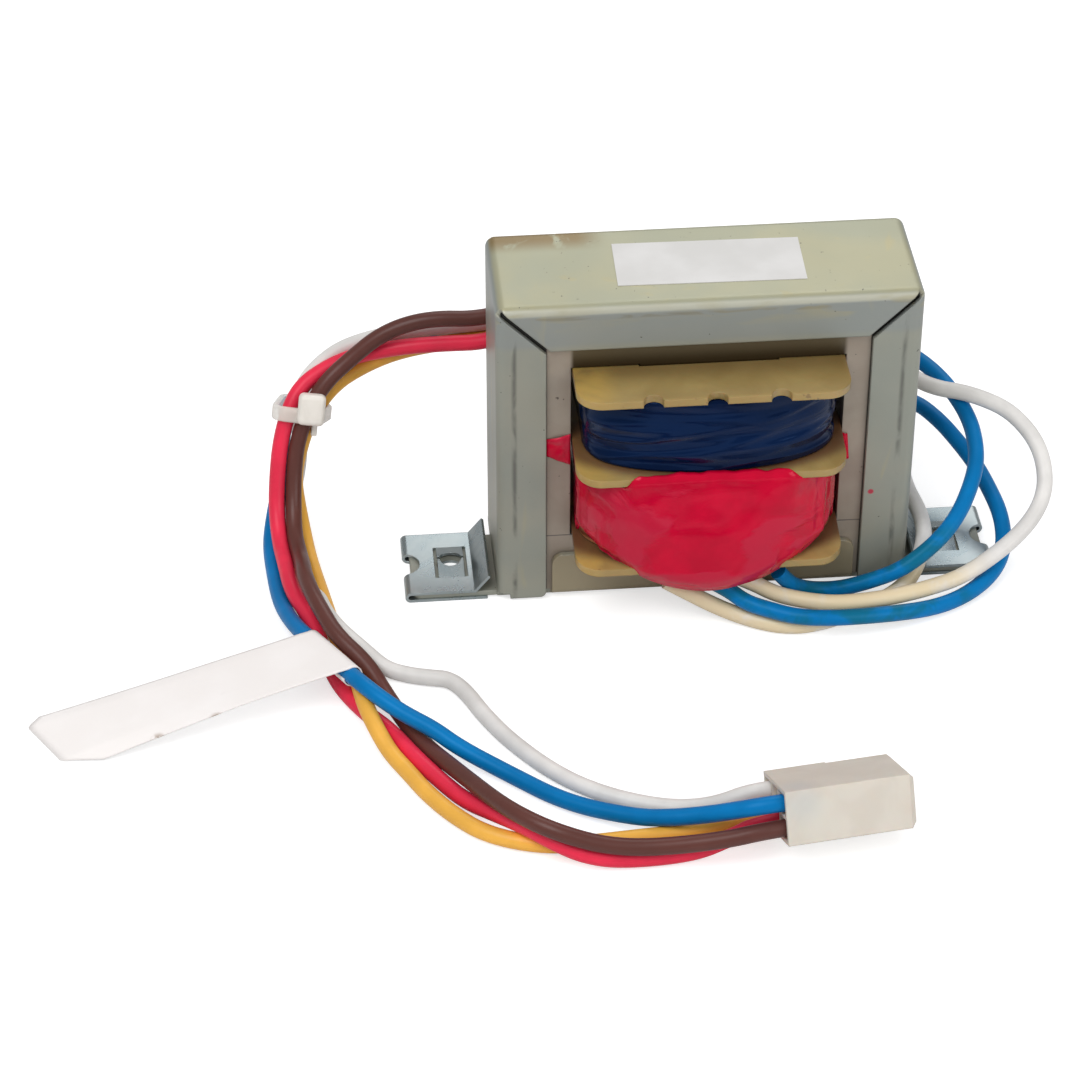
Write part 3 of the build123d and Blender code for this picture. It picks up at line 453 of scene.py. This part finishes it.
def lamination_steel():
    """Varnished stacked sheets: warm grey faces, with pooled varnish and painted shade above the bobbin, and
    painted shade where the lips cover them.
    """
    material, tree, shader, place = start_material(
        "lamination_steel", Metallic=0.3, Roughness=0.5, Coat_Weight=0.2
    )
    x, _, z = axes(tree, place)
    side = math_node(tree, "ABSOLUTE", x)
    cloud = step(tree, grain(tree, place, 110.0, 5.0), 0.3, 0.7)
    base = blend(tree, cloud, (0.31, 0.26, 0.21), (0.375, 0.325, 0.265))
    dots = step(tree, grain(tree, place, 900.0, 2.0), 0.72, 0.76)
    seam = band(tree, z, YOKE_Z - 0.2, YOKE_Z - 0.05, YOKE_Z, YOKE_Z + 0.15)
    # Pooled varnish and painted shade from the top lip: a dark strip above the top flange, darkest just
    # above it.
    inside = level(tree, side, FLANGE_HALF_W + 0.6, FLANGE_HALF_W - 0.3)
    above = level(tree, z, TOP_FLANGE_Z, TOP_FLANGE_Z + 0.7)
    rise = level(tree, z, TOP_FLANGE_Z + 1.5, WINDOW_TOP + 0.5)
    shade = blend(tree, rise, (0.026, 0.014, 0.001), (0.15, 0.12, 0.07))
    # Painted shade: near black where the lips cover the sheets.
    beside = level(tree, side, WINDOW_HALF - 0.35, WINDOW_HALF)
    over = level(tree, z, WINDOW_TOP - 0.1, WINDOW_TOP + 0.1)
    paint(tree, shader, layered(tree, base, [
        (dots, (0.10, 0.085, 0.075)),
        (seam, (0.14, 0.12, 0.11)),
        (product(tree, inside, above), shade),
        (math_node(tree, "MAXIMUM", beside, over), (0.012, 0.011, 0.009)),
    ]))
    inputs = {"Vector": place, "Scale": 320.0, "Distortion": 0.4}
    sheets = add(tree, "ShaderNodeTexWave", inputs, bands_direction="Y").outputs["Fac"]
    bump(tree, shader, math_node(tree, "ADD", sheets, grain(tree, place, 500.0)), 0.1, 0.3, edge=0.25)
    return material


def tan_nylon():
    """Moulded nylon, olive-tan, with painted shade towards the coil and paler along its varnished front
    edges.
    """
    material, tree, shader, place = start_material(
        "tan_nylon", Roughness=0.34, Subsurface_Weight=0.12, Subsurface_Scale=0.004,
        Coat_Weight=0.3, Coat_Roughness=0.2,
    )
    x, y, z = axes(tree, place)
    cloud = grain(tree, place, 120.0, 4.0, 0.5)
    base = blend(tree, step(tree, cloud, 0.3, 0.7), (0.285, 0.195, 0.065), (0.375, 0.27, 0.10))
    # Painted shade towards the core.
    shade = level(tree, y, -17.0, -11.5)
    left = level(tree, x, -14.0, -19.0)
    amber = step(tree, cloud, 0.35, 0.6)
    mapping = {
        "Vector": place,
        "Location": (0.0, COIL_Y / UPPER_B, 0.0),
        "Scale": (1 / (UPPER_A * MM), 1 / (UPPER_B * MM), 0.0),
    }
    oval = add(tree, "ShaderNodeMapping", mapping).outputs["Vector"]
    reach = add(tree, "ShaderNodeVectorMath", {0: oval}, operation="LENGTH").outputs["Value"]
    round_coil = step(tree, reach, 1.34, 1.1)
    # Painted shade on the lower flanges round the coil, reddened as a painted reflection of the red tape.
    low = level(tree, z, MID_FLANGE_Z + 4.0, MID_FLANGE_Z + 2.0)
    rim = level(tree, y, 0.9 - FLANGE_FRONT, 0.1 - FLANGE_FRONT)
    dirt = step(tree, grain(tree, place, 800.0, 3.0), 0.64, 0.7)
    paint(tree, shader, layered(tree, base, [
        (product(tree, shade, 0.7), (0.145, 0.09, 0.03)),
        (product(tree, left, amber, 0.5), (0.56, 0.36, 0.075)),
        (product(tree, low, round_coil, 0.85), (0.10, 0.04, 0.02)),
        (product(tree, rim, 0.6), (0.38, 0.265, 0.09)),
        (product(tree, dirt, rim, 0.6), (0.16, 0.10, 0.045)),
    ]))
    bump(tree, shader, grain(tree, place, 260.0, 5.0, 0.6), 0.16, 0.3, edge=0.3)
    return material


def film(name, deep, pale, sheen, patch, stretch, crease, relief, stuck=(), loose=()):
    """Glossy tape: deep where it sticks, paler with painted sheen where it lifts, with creases that run
    along it.
    """
    material, tree, shader, place = start_material(
        name, Roughness=0.13, Specular_IOR_Level=0.45, Specular_Tint=(*sheen, 1.0)
    )
    run = stretched(tree, place, stretch)
    hold = grain(tree, run, patch, 5.0, 0.7)
    for spots, change in ((stuck, -0.12), (loose, 0.1)):
        for spot, radius in spots:
            patched = product(tree, near_point(tree, place, spot, 0.5 * radius, radius), change)
            hold = math_node(tree, "ADD", hold, patched)
    # Where the film lifts it is painted paler, as painted sheen for the light it reflects there.
    lift_and_sheen = step(tree, hold, 0.46, 0.58)
    cloud = step(tree, grain(tree, place, 200.0, 4.0), 0.3, 0.75)
    base = blend(tree, cloud, deep, tuple(1.25 * c for c in deep))
    paint(tree, shader, blend(tree, lift_and_sheen, base, pale))
    ridges = grain(tree, run, crease, 4.0, 1.2, "RIDGED_MULTIFRACTAL")
    bump(tree, shader, math_node(tree, "ADD", ridges, product(tree, lift_and_sheen, 0.5)), relief, 0.5)
    return material


def insulation(name, color, sheen=(1.0, 1.0, 1.0), aged=None, aged_from=0.0, aged_to=1.0):
    """Extruded lead insulation with faint mottling, and varnish near the coil where it has been dipped."""
    material, tree, shader, place = start_material(
        name, Roughness=0.36, Specular_IOR_Level=0.3, Specular_Tint=(*sheen, 1.0)
    )
    cloud = step(tree, grain(tree, place, 160.0, 4.0), 0.3, 0.75)
    dye = blend(tree, cloud, tuple(0.9 * c for c in color), tuple(min(1.0, 1.08 * c) for c in color))
    if aged:
        x, y, _ = axes(tree, place)
        across = band(tree, x, -12.0, -9.0, 38.0, 49.0)
        ahead = band(tree, y, -34.0, -30.0, -15.0, -12.0)
        patchy = step(tree, grain(tree, place, 190.0, 4.0, 0.6), aged_from, aged_to)
        dye = blend(tree, product(tree, across, ahead, patchy), dye, aged)
    paint(tree, shader, dye)
    bump(tree, shader, grain(tree, place, 420.0, 4.0), 0.06, 0.4)
    return material


def milky_nylon():
    """Natural nylon: warm white with faint flow marks, tinted where the blue lead shows through."""
    material, tree, shader, place = start_material(
        "milky_nylon", Roughness=0.36, Subsurface_Weight=0.12, Subsurface_Scale=0.004, Specular_IOR_Level=0.4
    )
    cloud = step(tree, grain(tree, place, 140.0, 3.0, 0.8), 0.35, 0.7)
    color = blend(tree, cloud, (0.64, 0.58, 0.505), (0.68, 0.625, 0.55))
    glimpse = product(tree, near_point(tree, place, BLUE_ROUTE[-1], 1.0, 5.0), 0.3)
    paint(tree, shader, blend(tree, glimpse, color, (0.40, 0.48, 0.56)))
    bump(tree, shader, grain(tree, place, 300.0, 3.0), 0.08, 0.3, edge=0.35)
    return material


def clear_nylon(name, alpha):
    """Thin moulded nylon that lets some of what lies behind it through."""
    material, tree, shader, place = start_material(name, Roughness=0.35, Alpha=alpha)
    cloud = step(tree, grain(tree, place, 260.0, 3.0, 0.8), 0.35, 0.7)
    paint(tree, shader, blend(tree, cloud, (0.80, 0.755, 0.69), (0.86, 0.815, 0.75)))
    bump(tree, shader, grain(tree, place, 500.0, 3.0), 0.05, 0.3)
    return material


def label_paper(name, dull, clean, smears=()):
    """Blank matte label stock, rubbed a little and soiled at the places given."""
    material, tree, shader, place = start_material(name, Roughness=0.62, Specular_IOR_Level=0.3)
    color = blend(tree, step(tree, grain(tree, place, 90.0, 4.0), 0.35, 0.7), dull, clean)
    rubbed = step(tree, grain(tree, stretched(tree, place, (0.5, 1.0, 1.0)), 330.0, 4.0, 0.4), 0.67, 0.78)
    color = blend(tree, product(tree, rubbed, 0.2), color, tuple(0.75 * c for c in dull))
    for spot in smears:
        grime = step(tree, grain(tree, place, 600.0), 0.42, 0.56)
        soiled = product(tree, near_point(tree, place, spot, 0.4, 1.6), grime, 0.8)
        color = blend(tree, soiled, color, (0.30, 0.20, 0.13))
    paint(tree, shader, color)
    bump(tree, shader, grain(tree, place, 700.0, 5.0), 0.05, 0.4)
    return material


def bright_zinc():
    """Bright zinc-plated spring steel with a cool sheen."""
    material, tree, shader, place = start_material("bright_zinc", Metallic=0.9)
    cloud = grain(tree, place, 180.0, 4.0, 0.7)
    plating = step(tree, cloud, 0.3, 0.7)
    paint(tree, shader, blend(tree, plating, (0.27, 0.32, 0.335), (0.39, 0.435, 0.44)))
    tree.links.new(spread(tree, cloud, 0.2, 0.36), shader.inputs["Roughness"])
    brushed = grain(tree, stretched(tree, place, (0.3, 1.0, 1.0)), 900.0, 3.0)
    bump(tree, shader, brushed, 0.003, 0.3, edge=0.15)
    return material


def copper_wire():
    """Enamelled turns of the hidden windings."""
    material, tree, shader, place = start_material("copper_wire", Metallic=0.8, Roughness=0.35)
    inputs = {"Vector": place, "Scale": 220.0}
    turns = add(tree, "ShaderNodeTexWave", inputs, bands_direction="Z").outputs["Fac"]
    paint(tree, shader, blend(tree, turns, (0.30, 0.10, 0.04), (0.62, 0.27, 0.13)))
    bump(tree, shader, turns, 0.2, 0.6)
    return material


def tinned_metal():
    """Dull tinned crimp contacts."""
    material, tree, shader, place = start_material("tinned_metal", Metallic=1.0, Roughness=0.35)
    cloud = grain(tree, place, 400.0, 4.0)
    paint(tree, shader, blend(tree, cloud, (0.52, 0.51, 0.49), (0.72, 0.71, 0.69)))
    bump(tree, shader, cloud, 0.05, 0.4)
    return material


ZINC = varnished_zinc()
STEEL = lamination_steel()
NYLON = tan_nylon()
MILKY = milky_nylon()
BAND_NYLON = clear_nylon("band_nylon", 0.6)
HEAD_NYLON = clear_nylon("head_nylon", 0.94)
LABEL = label_paper("label_paper", (0.62, 0.61, 0.595), (0.69, 0.68, 0.67))
FLAG_PAPER = label_paper("flag_paper", (0.87, 0.83, 0.81), (0.90, 0.865, 0.85), FLAG_SMEARS)
BRIGHT = bright_zinc()
COPPER = copper_wire()
TINNED = tinned_metal()
RED_FILM = film(
    "red_film", deep=(0.49, 0.001, 0.025), pale=(0.53, 0.014, 0.046), sheen=(1.0, 0.34, 0.4),
    patch=110.0, stretch=(0.7, 0.8, 1.1), crease=95.0, relief=0.45, stuck=STUCK_PATCHES, loose=LOOSE_PATCHES,
)
BLUE_FILM = film(
    "blue_film", deep=(0.0008, 0.004, 0.022), pale=(0.0015, 0.009, 0.042), sheen=(0.16, 0.32, 0.7),
    patch=60.0, stretch=(0.22, 0.4, 1.6), crease=38.0, relief=0.3,
)
BROWN = insulation("brown_insulation", (0.11, 0.036, 0.028))
RED = insulation("red_insulation", (0.81, 0.03, 0.075), sheen=(1.0, 0.7, 0.75))
YELLOW = insulation("yellow_insulation", (0.88, 0.46, 0.07))
BLUE = insulation(
    "blue_insulation", (0.002, 0.175, 0.46), sheen=(0.25, 0.6, 1.0), aged=(0.004, 0.14, 0.25),
    aged_from=0.4, aged_to=0.62,
)
WHITE = insulation(
    "white_insulation", (0.76, 0.74, 0.715), aged=(0.74, 0.62, 0.41), aged_from=0.2, aged_to=0.5,
)

NODE_MATERIALS = {
    "channel_frame": ZINC, "base_plate": ZINC, "e_lamination_stack": STEEL, "i_lamination_stack": STEEL,
    "bobbin": NYLON, "primary_winding": COPPER, "secondary_winding": COPPER,
    "left_clip_nut": BRIGHT, "right_clip_nut": BRIGHT, "rating_label": LABEL,
    "splice_cap": MILKY, "connector_housing": MILKY, "crimp_terminals": TINNED,
}
for node_name, node_material in NODE_MATERIALS.items():
    node_mesh = frame["nodes"][node_name].data
    node_mesh.materials.clear()
    node_mesh.materials.append(node_material)


# Mesh helpers


def new_object(name, data):
    """An object in the row frame that rides on the part."""
    piece = bpy.data.objects.new(name, data)
    bpy.context.collection.objects.link(piece)
    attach(piece, "root")
    return piece


def mesh_piece(name, mesh, material):
    """A smooth-shaded object of a mesh, with its material."""
    mesh.materials.append(material)
    mesh.polygons.foreach_set("use_smooth", [True] * len(mesh.polygons))
    mesh.update()
    return new_object(name, mesh)


def new_piece(name, verts, faces, material):
    """A mesh piece in the row frame from points in millimetres."""
    mesh = bpy.data.meshes.new(name)
    mesh.from_pydata([metres(v) for v in verts], [], faces)
    return mesh_piece(name, mesh, material)


def grid_faces(rows, columns, closed):
    """Quads of a grid stored row by row; closed joins the last column to the first."""
    faces = []
    for r in range(rows - 1):
        for c in range(columns if closed else columns - 1):
            d = (c + 1) % columns
            faces.append((r * columns + c, r * columns + d, (r + 1) * columns + d, (r + 1) * columns + c))
    return faces


def thicken(piece, thickness, offset=-1.0):
    """Give a sheet its thickness in millimetres; an offset of 0 grows it to both sides."""
    shell = piece.modifiers.new("thickness", "SOLIDIFY")
    shell.thickness = thickness * MM
    shell.offset = offset


def smooth(low, high, value):
    """0 at low, 1 at high, and a smooth change between them."""
    t = max(0.0, min(1.0, (value - low) / (high - low)))
    return t * t * (3 - 2 * t)


def ripple(a, b, c, seed):
    """Signed noise of three stretched coordinates."""
    return noise.noise(Vector((a + 7.3 * seed, b - 3.1 * seed, c + 5.7 * seed)))


def plan_loop(half_width, front, rear, arc_steps, side_steps):
    """Points and outward normals round a coil: front ellipse, right side, rear ellipse, left side."""
    points = []
    for i in range(arc_steps):
        t = math.pi * (i / arc_steps - 0.5)
        points.append((half_width * math.sin(t), -COIL_Y - front * math.cos(t), math.sin(t), -math.cos(t)))
    for i in range(side_steps):
        points.append((half_width, COIL_Y * (2 * i / side_steps - 1), 1.0, 0.0))
    for i in range(arc_steps):
        t = math.pi * (0.5 - i / arc_steps)
        points.append((half_width * math.sin(t), COIL_Y + rear * math.cos(t), math.sin(t), math.cos(t)))
    for i in range(side_steps):
        points.append((-half_width, COIL_Y * (1 - 2 * i / side_steps), -1.0, 0.0))
    return points


def droop(y):
    """How far a flange hangs at this depth in front of the core."""
    return FLANGE_SLOPE * max(0.0, -y - CORE_FRONT)


# Upper coil: blue tape with long folds that run round it


def blue_wrap():
    """Barrel of tape that bulges over the mid flange in front and tucks in at the sides."""
    loop = plan_loop(UPPER_A, UPPER_B, UPPER_B, arc_steps=90, side_steps=16)
    rows = 44
    low = MID_FLANGE_Z + FLANGE_T + TAPE_GAP
    high = TOP_FLANGE_Z - TAPE_GAP
    levels = [(r / (rows - 1), 0.0) for r in range(rows)] + [(1.0, tuck) for tuck in BLUE_CAP_TUCKS]
    verts = []
    for v, tuck in levels:
        for x, y, nx, ny in loop:
            bottom = low - droop(y)
            z = bottom + (high - bottom) * v
            held = 1 - smooth(0.7, 1.0, v)
            fold = BLUE_FOLD * held * ripple(0.03 * x, 0.03 * y, 0.26 * z + 0.035 * x, 1)
            crease = max(0.0, 1 - 3.2 * abs(ripple(0.05 * x, 0.05 * y, 0.34 * z - 0.03 * x, 2)))
            front = smooth(0.1, 0.7, -ny)
            bulge = front * (0.8 + 0.2 * (1 - v))
            push = bulge + fold + BLUE_CREASE * held * crease - BLUE_INSET * held
            most = BLUE_SIDE_MOST + BLUE_FRONT_MOST * front
            push = max(-BLUE_INSET, min(push, most)) - tuck
            verts.append((x + nx * push, y + ny * push, z))
    faces = grid_faces(len(levels), len(loop), True)
    piece = new_piece("blue_wrap", verts, faces, BLUE_FILM)
    thicken(piece, BLUE_TAPE_T)
    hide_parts("secondary_tape")


def lead_pad():
    """Taped pad on the rear of the upper coil, where three leads come out."""
    rows = 26
    columns = 72
    spans = (PAD_X, (2 * PAD_Y[0] - PAD_Y[1], PAD_Y[1]), PAD_Z)
    verts = []
    for r in range(rows):
        lat = math.pi * (r / (rows - 1) - 0.5)
        for c in range(columns):
            lon = 2 * math.pi * c / columns
            direction = (math.cos(lat) * math.cos(lon), math.cos(lat) * math.sin(lon), math.sin(lat))
            box = [math.copysign(abs(d) ** 0.24, d) for d in direction]
            swell = 1.0 - 0.03 * abs(ripple(box[0] * 1.4, box[1] * 1.4, box[2] * 2.4, 5))
            verts.append([(a + b) / 2 + (b - a) / 2 * k * swell for (a, b), k in zip(spans, box)])
    new_piece("lead_pad", verts, grid_faces(rows, columns, True), BLUE_FILM)


# Lower coil: red tape, pouched over the flanges at the front


def pouch_edge(x):
    """Lower edge of the pouch: a smile that is lowest in the middle."""
    return POUCH_LOW + (POUCH_SIDE - POUCH_LOW) * (x / LOWER_A) ** 2


def red_section(x, y, nx, ny):
    """Points of the red tape from its top edge to its tucked edge, at one place round the coil."""
    under = MID_FLANGE_Z - TAPE_GAP - droop(y)
    over = LOW_FLANGE_Z + FLANGE_T + TAPE_GAP
    if ny > -0.02:
        sides = [(x, y, under + (over - under) * k / FACE_STEPS) for k in range(FACE_STEPS + 1)]
        return [(x, y, under)] * 3 + sides + [(x, y, over)] * len(TUCK_REACH)
    lap = smooth(*LAP_FADE, abs(x))
    lip = MID_FLANGE_Z + FLANGE_T - droop(-FLANGE_FRONT) + LAP_RISE
    edge_y = LAP_EDGE_Y - LAP_BOW * (x / LAP_BOW_X) ** 2
    edge_z = lip + FLANGE_SLOPE * (FLANGE_FRONT + edge_y)
    bend = [(edge_y, edge_z), (-FLANGE_FRONT, lip), (BEND_Y, lip - BEND_DROP)]
    points = [(x, y + (lap_y - y) * lap, under + (lap_z - under) * lap) for lap_y, lap_z in bend]
    mouth = 1 - smooth(*MOUTH_FADE, abs(x))
    low = max(pouch_edge(x), (over - droop(y)) * mouth)
    top_y = y + (FACE_Y - y) * lap
    top_z = under + (lip - FACE_DROP - under) * lap
    for k in range(FACE_STEPS + 1):
        v = k / FACE_STEPS
        belly = smooth(0.0, 0.45, v)
        tuck = smooth(0.86, 1.0, v)
        depth = top_y + (y - top_y) * belly
        points.append((x - nx * tuck, depth - TUCK_IN * ny * tuck, top_z + (low - top_z) * v))
    pouched = lap > 0.5
    for reach in TUCK_REACH:
        inner = y - ny * (TUCK_IN + reach) * (1.0 if pouched else SIDE_TUCK)
        back = min(inner, TUCK_Y) if pouched else inner
        points.append((x * (1 - TUCK_NARROW * reach), back, low + TUCK_RISE * reach * lap))
    return points


def red_wrap():
    """Tape round the lower coil, wrinkled where it is loose in front."""
    loop = plan_loop(LOWER_A, POUCH_B, LOWER_B, arc_steps=120, side_steps=14)
    sections = [red_section(*p) for p in loop]
    rows = len(sections[0])
    verts = []
    for r in range(rows):
        for (_, _, nx, ny), section in zip(loop, sections):
            px, py, pz = section[r]
            front = smooth(0.0, 0.25, -ny)
            fine = RED_FINE * ripple(0.22 * px, 0.22 * py, 0.34 * pz, 3)
            broad = RED_BROAD * ripple(0.07 * px + 0.05 * pz, 0.1 * py, 0.1 * pz - 0.03 * px, 4)
            gather = RED_GATHER * smooth(11.0, 20.0, abs(px)) * ripple(0.75 * px, 0.2 * py, 0.12 * pz, 6)
            frill = RED_FRILL * smooth(4.0, 0.0, r) * ripple(0.5 * px, 0.0, 0.0, 8)
            wrinkle = front * (fine + broad + gather)
            push = min(wrinkle - RED_INSET, RED_MOST) if r > 2 else 0.0
            verts.append((px + nx * push, py + ny * push + front * frill, pz + front * frill * 0.6))
    piece = new_piece("red_wrap", verts, grid_faces(rows, len(loop), True), RED_FILM)
    thicken(piece, RED_TAPE_T)
    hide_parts("primary_tape")


def film_tail(name, corners, seed):
    """A loose tail of film lying on the core face; corners are X and Z round a quad."""
    steps = 12
    first, second, third, fourth = [Vector(c) for c in corners]
    verts = []
    for i in range(steps):
        v = i / (steps - 1)
        for j in range(steps):
            u = j / (steps - 1)
            place = first.lerp(second, u).lerp(fourth.lerp(third, u), v)
            curl = abs(ripple(0.5 * place.x, 0.0, 0.5 * place.y, seed))
            lift = FILM_TAIL_REST + FILM_TAIL_CURL * curl * math.sin(math.pi * u)
            verts.append((place.x, -CORE_FRONT - lift, place.y))
    piece = new_piece(name, verts, grid_faces(steps, steps, False), RED_FILM)
    thicken(piece, FILM_TAIL_T, 0.0)
    return piece


blue_wrap()
lead_pad()
red_wrap()
left_tail = film_tail("left_film_tail", LEFT_TAIL, 11)
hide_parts("insulation_film")
film_tail("right_film_tail", RIGHT_TAIL, 12)


# Cable tie


def tie_outline(clearance, steps):
    """Rounded outline at a distance round the five bundled leads, in the tie's own plane."""
    corners = [Vector(p) for p in TIE_HULL]
    outline = []
    for k in range(steps):
        angle = 2 * math.pi * k / steps
        ray = Vector((math.cos(angle), math.sin(angle)))
        outline.append(max(corners, key=ray.dot) + ray * clearance)
    return outline


def tie_frame():
    """The tie's axis along the bundle and two directions across it."""
    axis = Vector(TIE_AXIS).normalized()
    side = Vector(TIE_SIDE)
    side = (side - axis * side.dot(axis)).normalized()
    return axis, side, axis.cross(side)


def cable_tie():
    """Flat band with rounded edges round the bundle."""
    axis, side, across = tie_frame()
    inner = WIRE_D / 2 + TIE_CLEAR
    outer = inner + TIE_T
    half = TIE_W / 2
    flat = half - TIE_EDGE
    profile = [
        (inner, -flat), (inner, flat), (inner + TIE_EDGE, half), (outer - TIE_EDGE, half),
        (outer, flat), (outer, -flat), (outer - TIE_EDGE, -half), (inner + TIE_EDGE, -half), (inner, -flat),
    ]
    steps = 96
    verts = []
    for reach, offset in profile:
        for p in tie_outline(reach, steps):
            verts.append(Vector(TIE_CENTRE) + side * p.x + across * p.y + axis * offset)
    faces = grid_faces(len(profile), steps, True)
    return new_piece("cable_tie_band", verts, faces, BAND_NYLON)


def tie_block(name, place, sizes, rounding):
    """A box with rounded edges set square to the tie, by its centre; all in millimetres."""
    axis, side, across = tie_frame()
    shape = bmesh.new()
    bmesh.ops.create_cube(shape, size=1.0)
    for vert in shape.verts:
        vert.co = [c * size for c, size in zip(vert.co, sizes)]
    bmesh.ops.bevel(shape, geom=list(shape.edges), offset=rounding, segments=5, profile=0.5, affect="EDGES")
    for vert in shape.verts:
        a, b, c = vert.co
        vert.co = metres(Vector(place) + side * a + across * b + axis * c)
    bmesh.ops.recalc_face_normals(shape, faces=list(shape.faces))
    mesh = bpy.data.meshes.new(name)
    shape.to_mesh(mesh)
    shape.free()
    return mesh_piece(name, mesh, HEAD_NYLON)


tie_band = cable_tie()
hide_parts("cable_tie")
tie_head = tie_block("cable_tie_head", HEAD_PLACE, HEAD_SIZE, HEAD_ROUND)
tie_tail = tie_block("cable_tie_tail", TAIL_PLACE, TAIL_SIZE, TAIL_ROUND)


# Paper flag


def along(points, share):
    """Point at a share of the length of a polyline."""
    points = [Vector(p) for p in points]
    runs = [(b - a).length for a, b in zip(points, points[1:])]
    left = share * sum(runs)
    for a, b, run in zip(points, points[1:], runs):
        if left <= run:
            return a.lerp(b, left / run)
        left -= run
    return points[-1]


def paper_flag():
    """Label wrapped round the blue lead and stuck to itself, its free end lying on the table."""
    stations = 26
    tail_steps = 34
    loop_steps = 26
    start = Vector(LOOP_A)
    end = Vector(LOOP_B)
    axis = (end - start).normalized()
    verts = []
    for s in range(stations):
        share = s / (stations - 1)
        centre = start.lerp(end, share)
        far = along(FLAG_FAR, share)
        run = far - centre
        run = (run - axis * run.dot(axis)).normalized()
        rise = run.cross(axis).normalized()
        if rise.z < 0:
            rise = -rise
        leaves = centre + run * FLAG_LEAVE + rise * LOOP_R
        for k in range(tail_steps):
            t = k / tail_steps
            swell = math.sin(math.pi * t)
            wave = FLAG_WAVE * ripple(2.4 * t, 1.2 * share, 0.0, 9)
            bow = (FLAG_BOW * share - FLAG_SAG) * swell
            verts.append(far.lerp(leaves, t) + Vector((0, 0, FLAG_LIFT + bow + wave * swell)))
        for k in range(loop_steps + 1):
            angle = math.radians(LOOP_FROM - LOOP_SWEEP * k / loop_steps)
            verts.append(centre + rise * LOOP_R * math.sin(angle) - run * LOOP_R * math.cos(angle))
    columns = len(verts) // stations
    piece = new_piece("paper_flag", verts, grid_faces(stations, columns, False), FLAG_PAPER)
    thicken(piece, FLAG_T, 0.0)
    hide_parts("flag_label")
    return piece


# Leads


def lead(name, route, material):
    """A free lead along its route, as a round bevelled NURBS curve."""
    curve = bpy.data.curves.new(name, "CURVE")
    curve.dimensions = "3D"
    curve.bevel_depth = WIRE_D / 2 * MM
    curve.bevel_resolution = 7
    curve.resolution_u = 10
    curve.use_fill_caps = True
    spline = curve.splines.new("NURBS")
    spline.points.add(len(route) - 1)
    for point, place in zip(spline.points, route):
        point.co = (*metres(place), 1.0)
    spline.order_u = 3
    spline.use_endpoint_u = True
    curve.materials.append(material)
    piece = new_object(name, curve)
    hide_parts(name + "_lead")


flag = paper_flag()
lead("brown", BROWN_ROUTE, BROWN)
lead("red", RED_ROUTE, RED)
lead("yellow", YELLOW_ROUTE, YELLOW)
lead("blue", BLUE_ROUTE, BLUE)
lead("white", WHITE_ROUTE, WHITE)
lead("second_blue", SECOND_BLUE_ROUTE, BLUE)
lead("second_white", SECOND_WHITE_ROUTE, WHITE)


# Floor, light and camera


def grey(value):
    """A neutral colour with full alpha."""
    return (value, value, value, 1.0)


def floor():
    """Pale floor that shows white to the camera and still takes a soft shadow."""
    bpy.ops.mesh.primitive_plane_add(size=FLOOR_SIZE * MM, location=(0, 0, -FLOOR_DROP * MM))
    plane = bpy.context.object
    plane.name = "floor"
    material = bpy.data.materials.new("floor_white")
    material.use_nodes = True
    tree = material.node_tree
    tree.nodes.clear()
    path = add(tree, "ShaderNodeLightPath").outputs
    seen = math_node(tree, "MAXIMUM", path["Is Camera Ray"], path["Is Transmission Ray"])
    lit = add(tree, "ShaderNodeBsdfDiffuse", {"Color": grey(FLOOR_SEEN)}).outputs[0]
    glow = add(tree, "ShaderNodeEmission", {"Color": grey(1.0), "Strength": FLOOR_GLOW}).outputs[0]
    plain = add(tree, "ShaderNodeBsdfDiffuse", {"Color": grey(FLOOR_PLAIN)}).outputs[0]
    white = add(tree, "ShaderNodeAddShader", {0: lit, 1: glow}).outputs[0]
    mixed = add(tree, "ShaderNodeMixShader", {0: seen, 1: plain, 2: white}).outputs[0]
    add(tree, "ShaderNodeOutputMaterial", {"Surface": mixed})
    plane.data.materials.append(material)


def world():
    """White to the camera, an even pale grey to everything else."""
    scene = bpy.context.scene
    scene.world = bpy.data.worlds.new("studio")
    scene.world.use_nodes = True
    tree = scene.world.node_tree
    tree.nodes.clear()
    path = add(tree, "ShaderNodeLightPath").outputs
    even = add(tree, "ShaderNodeBackground", {"Color": grey(1.0), "Strength": WORLD_EVEN}).outputs[0]
    white = add(tree, "ShaderNodeBackground", {"Color": grey(1.0), "Strength": WORLD_SEEN}).outputs[0]
    seen = add(tree, "ShaderNodeMixShader", {0: path["Is Camera Ray"], 1: even, 2: white}).outputs[0]
    add(tree, "ShaderNodeOutputWorld", {"Surface": seen})


def softbox(name, place, target, size, power):
    """Square area light aimed at a point; places in millimetres."""
    data = bpy.data.lights.new(name, "AREA")
    data.shape = "SQUARE"
    data.size = size * MM
    data.energy = power
    lamp = bpy.data.objects.new(name, data)
    lamp.location = metres(place)
    lamp.rotation_euler = (metres(target) - metres(place)).to_track_quat("-Z", "Y").to_euler()
    bpy.context.collection.objects.link(lamp)


def camera():
    """The photograph's view."""
    azimuth = math.radians(VIEW_AZIMUTH)
    elevation = math.radians(VIEW_ELEVATION)
    level_back = Vector((math.sin(azimuth), -math.cos(azimuth), 0.0))
    back = level_back * math.cos(elevation) + Vector((0, 0, 1)) * math.sin(elevation)
    data = bpy.data.cameras.new("photo_view")
    data.sensor_width = VIEW_SENSOR
    data.lens = VIEW_LENS
    data.clip_start = VIEW_CLIP * MM
    eye = bpy.data.objects.new("photo_view", data)
    eye.location = metres(VIEW_TARGET) + back * VIEW_DISTANCE * MM
    eye.rotation_euler = back.to_track_quat("Z", "Y").to_euler()
    bpy.context.collection.objects.link(eye)
    bpy.context.scene.camera = eye


floor()
world()
for lamp_values in LAMPS:
    softbox(*lamp_values)
camera()
bpy.context.scene.view_settings.view_transform = "Standard"
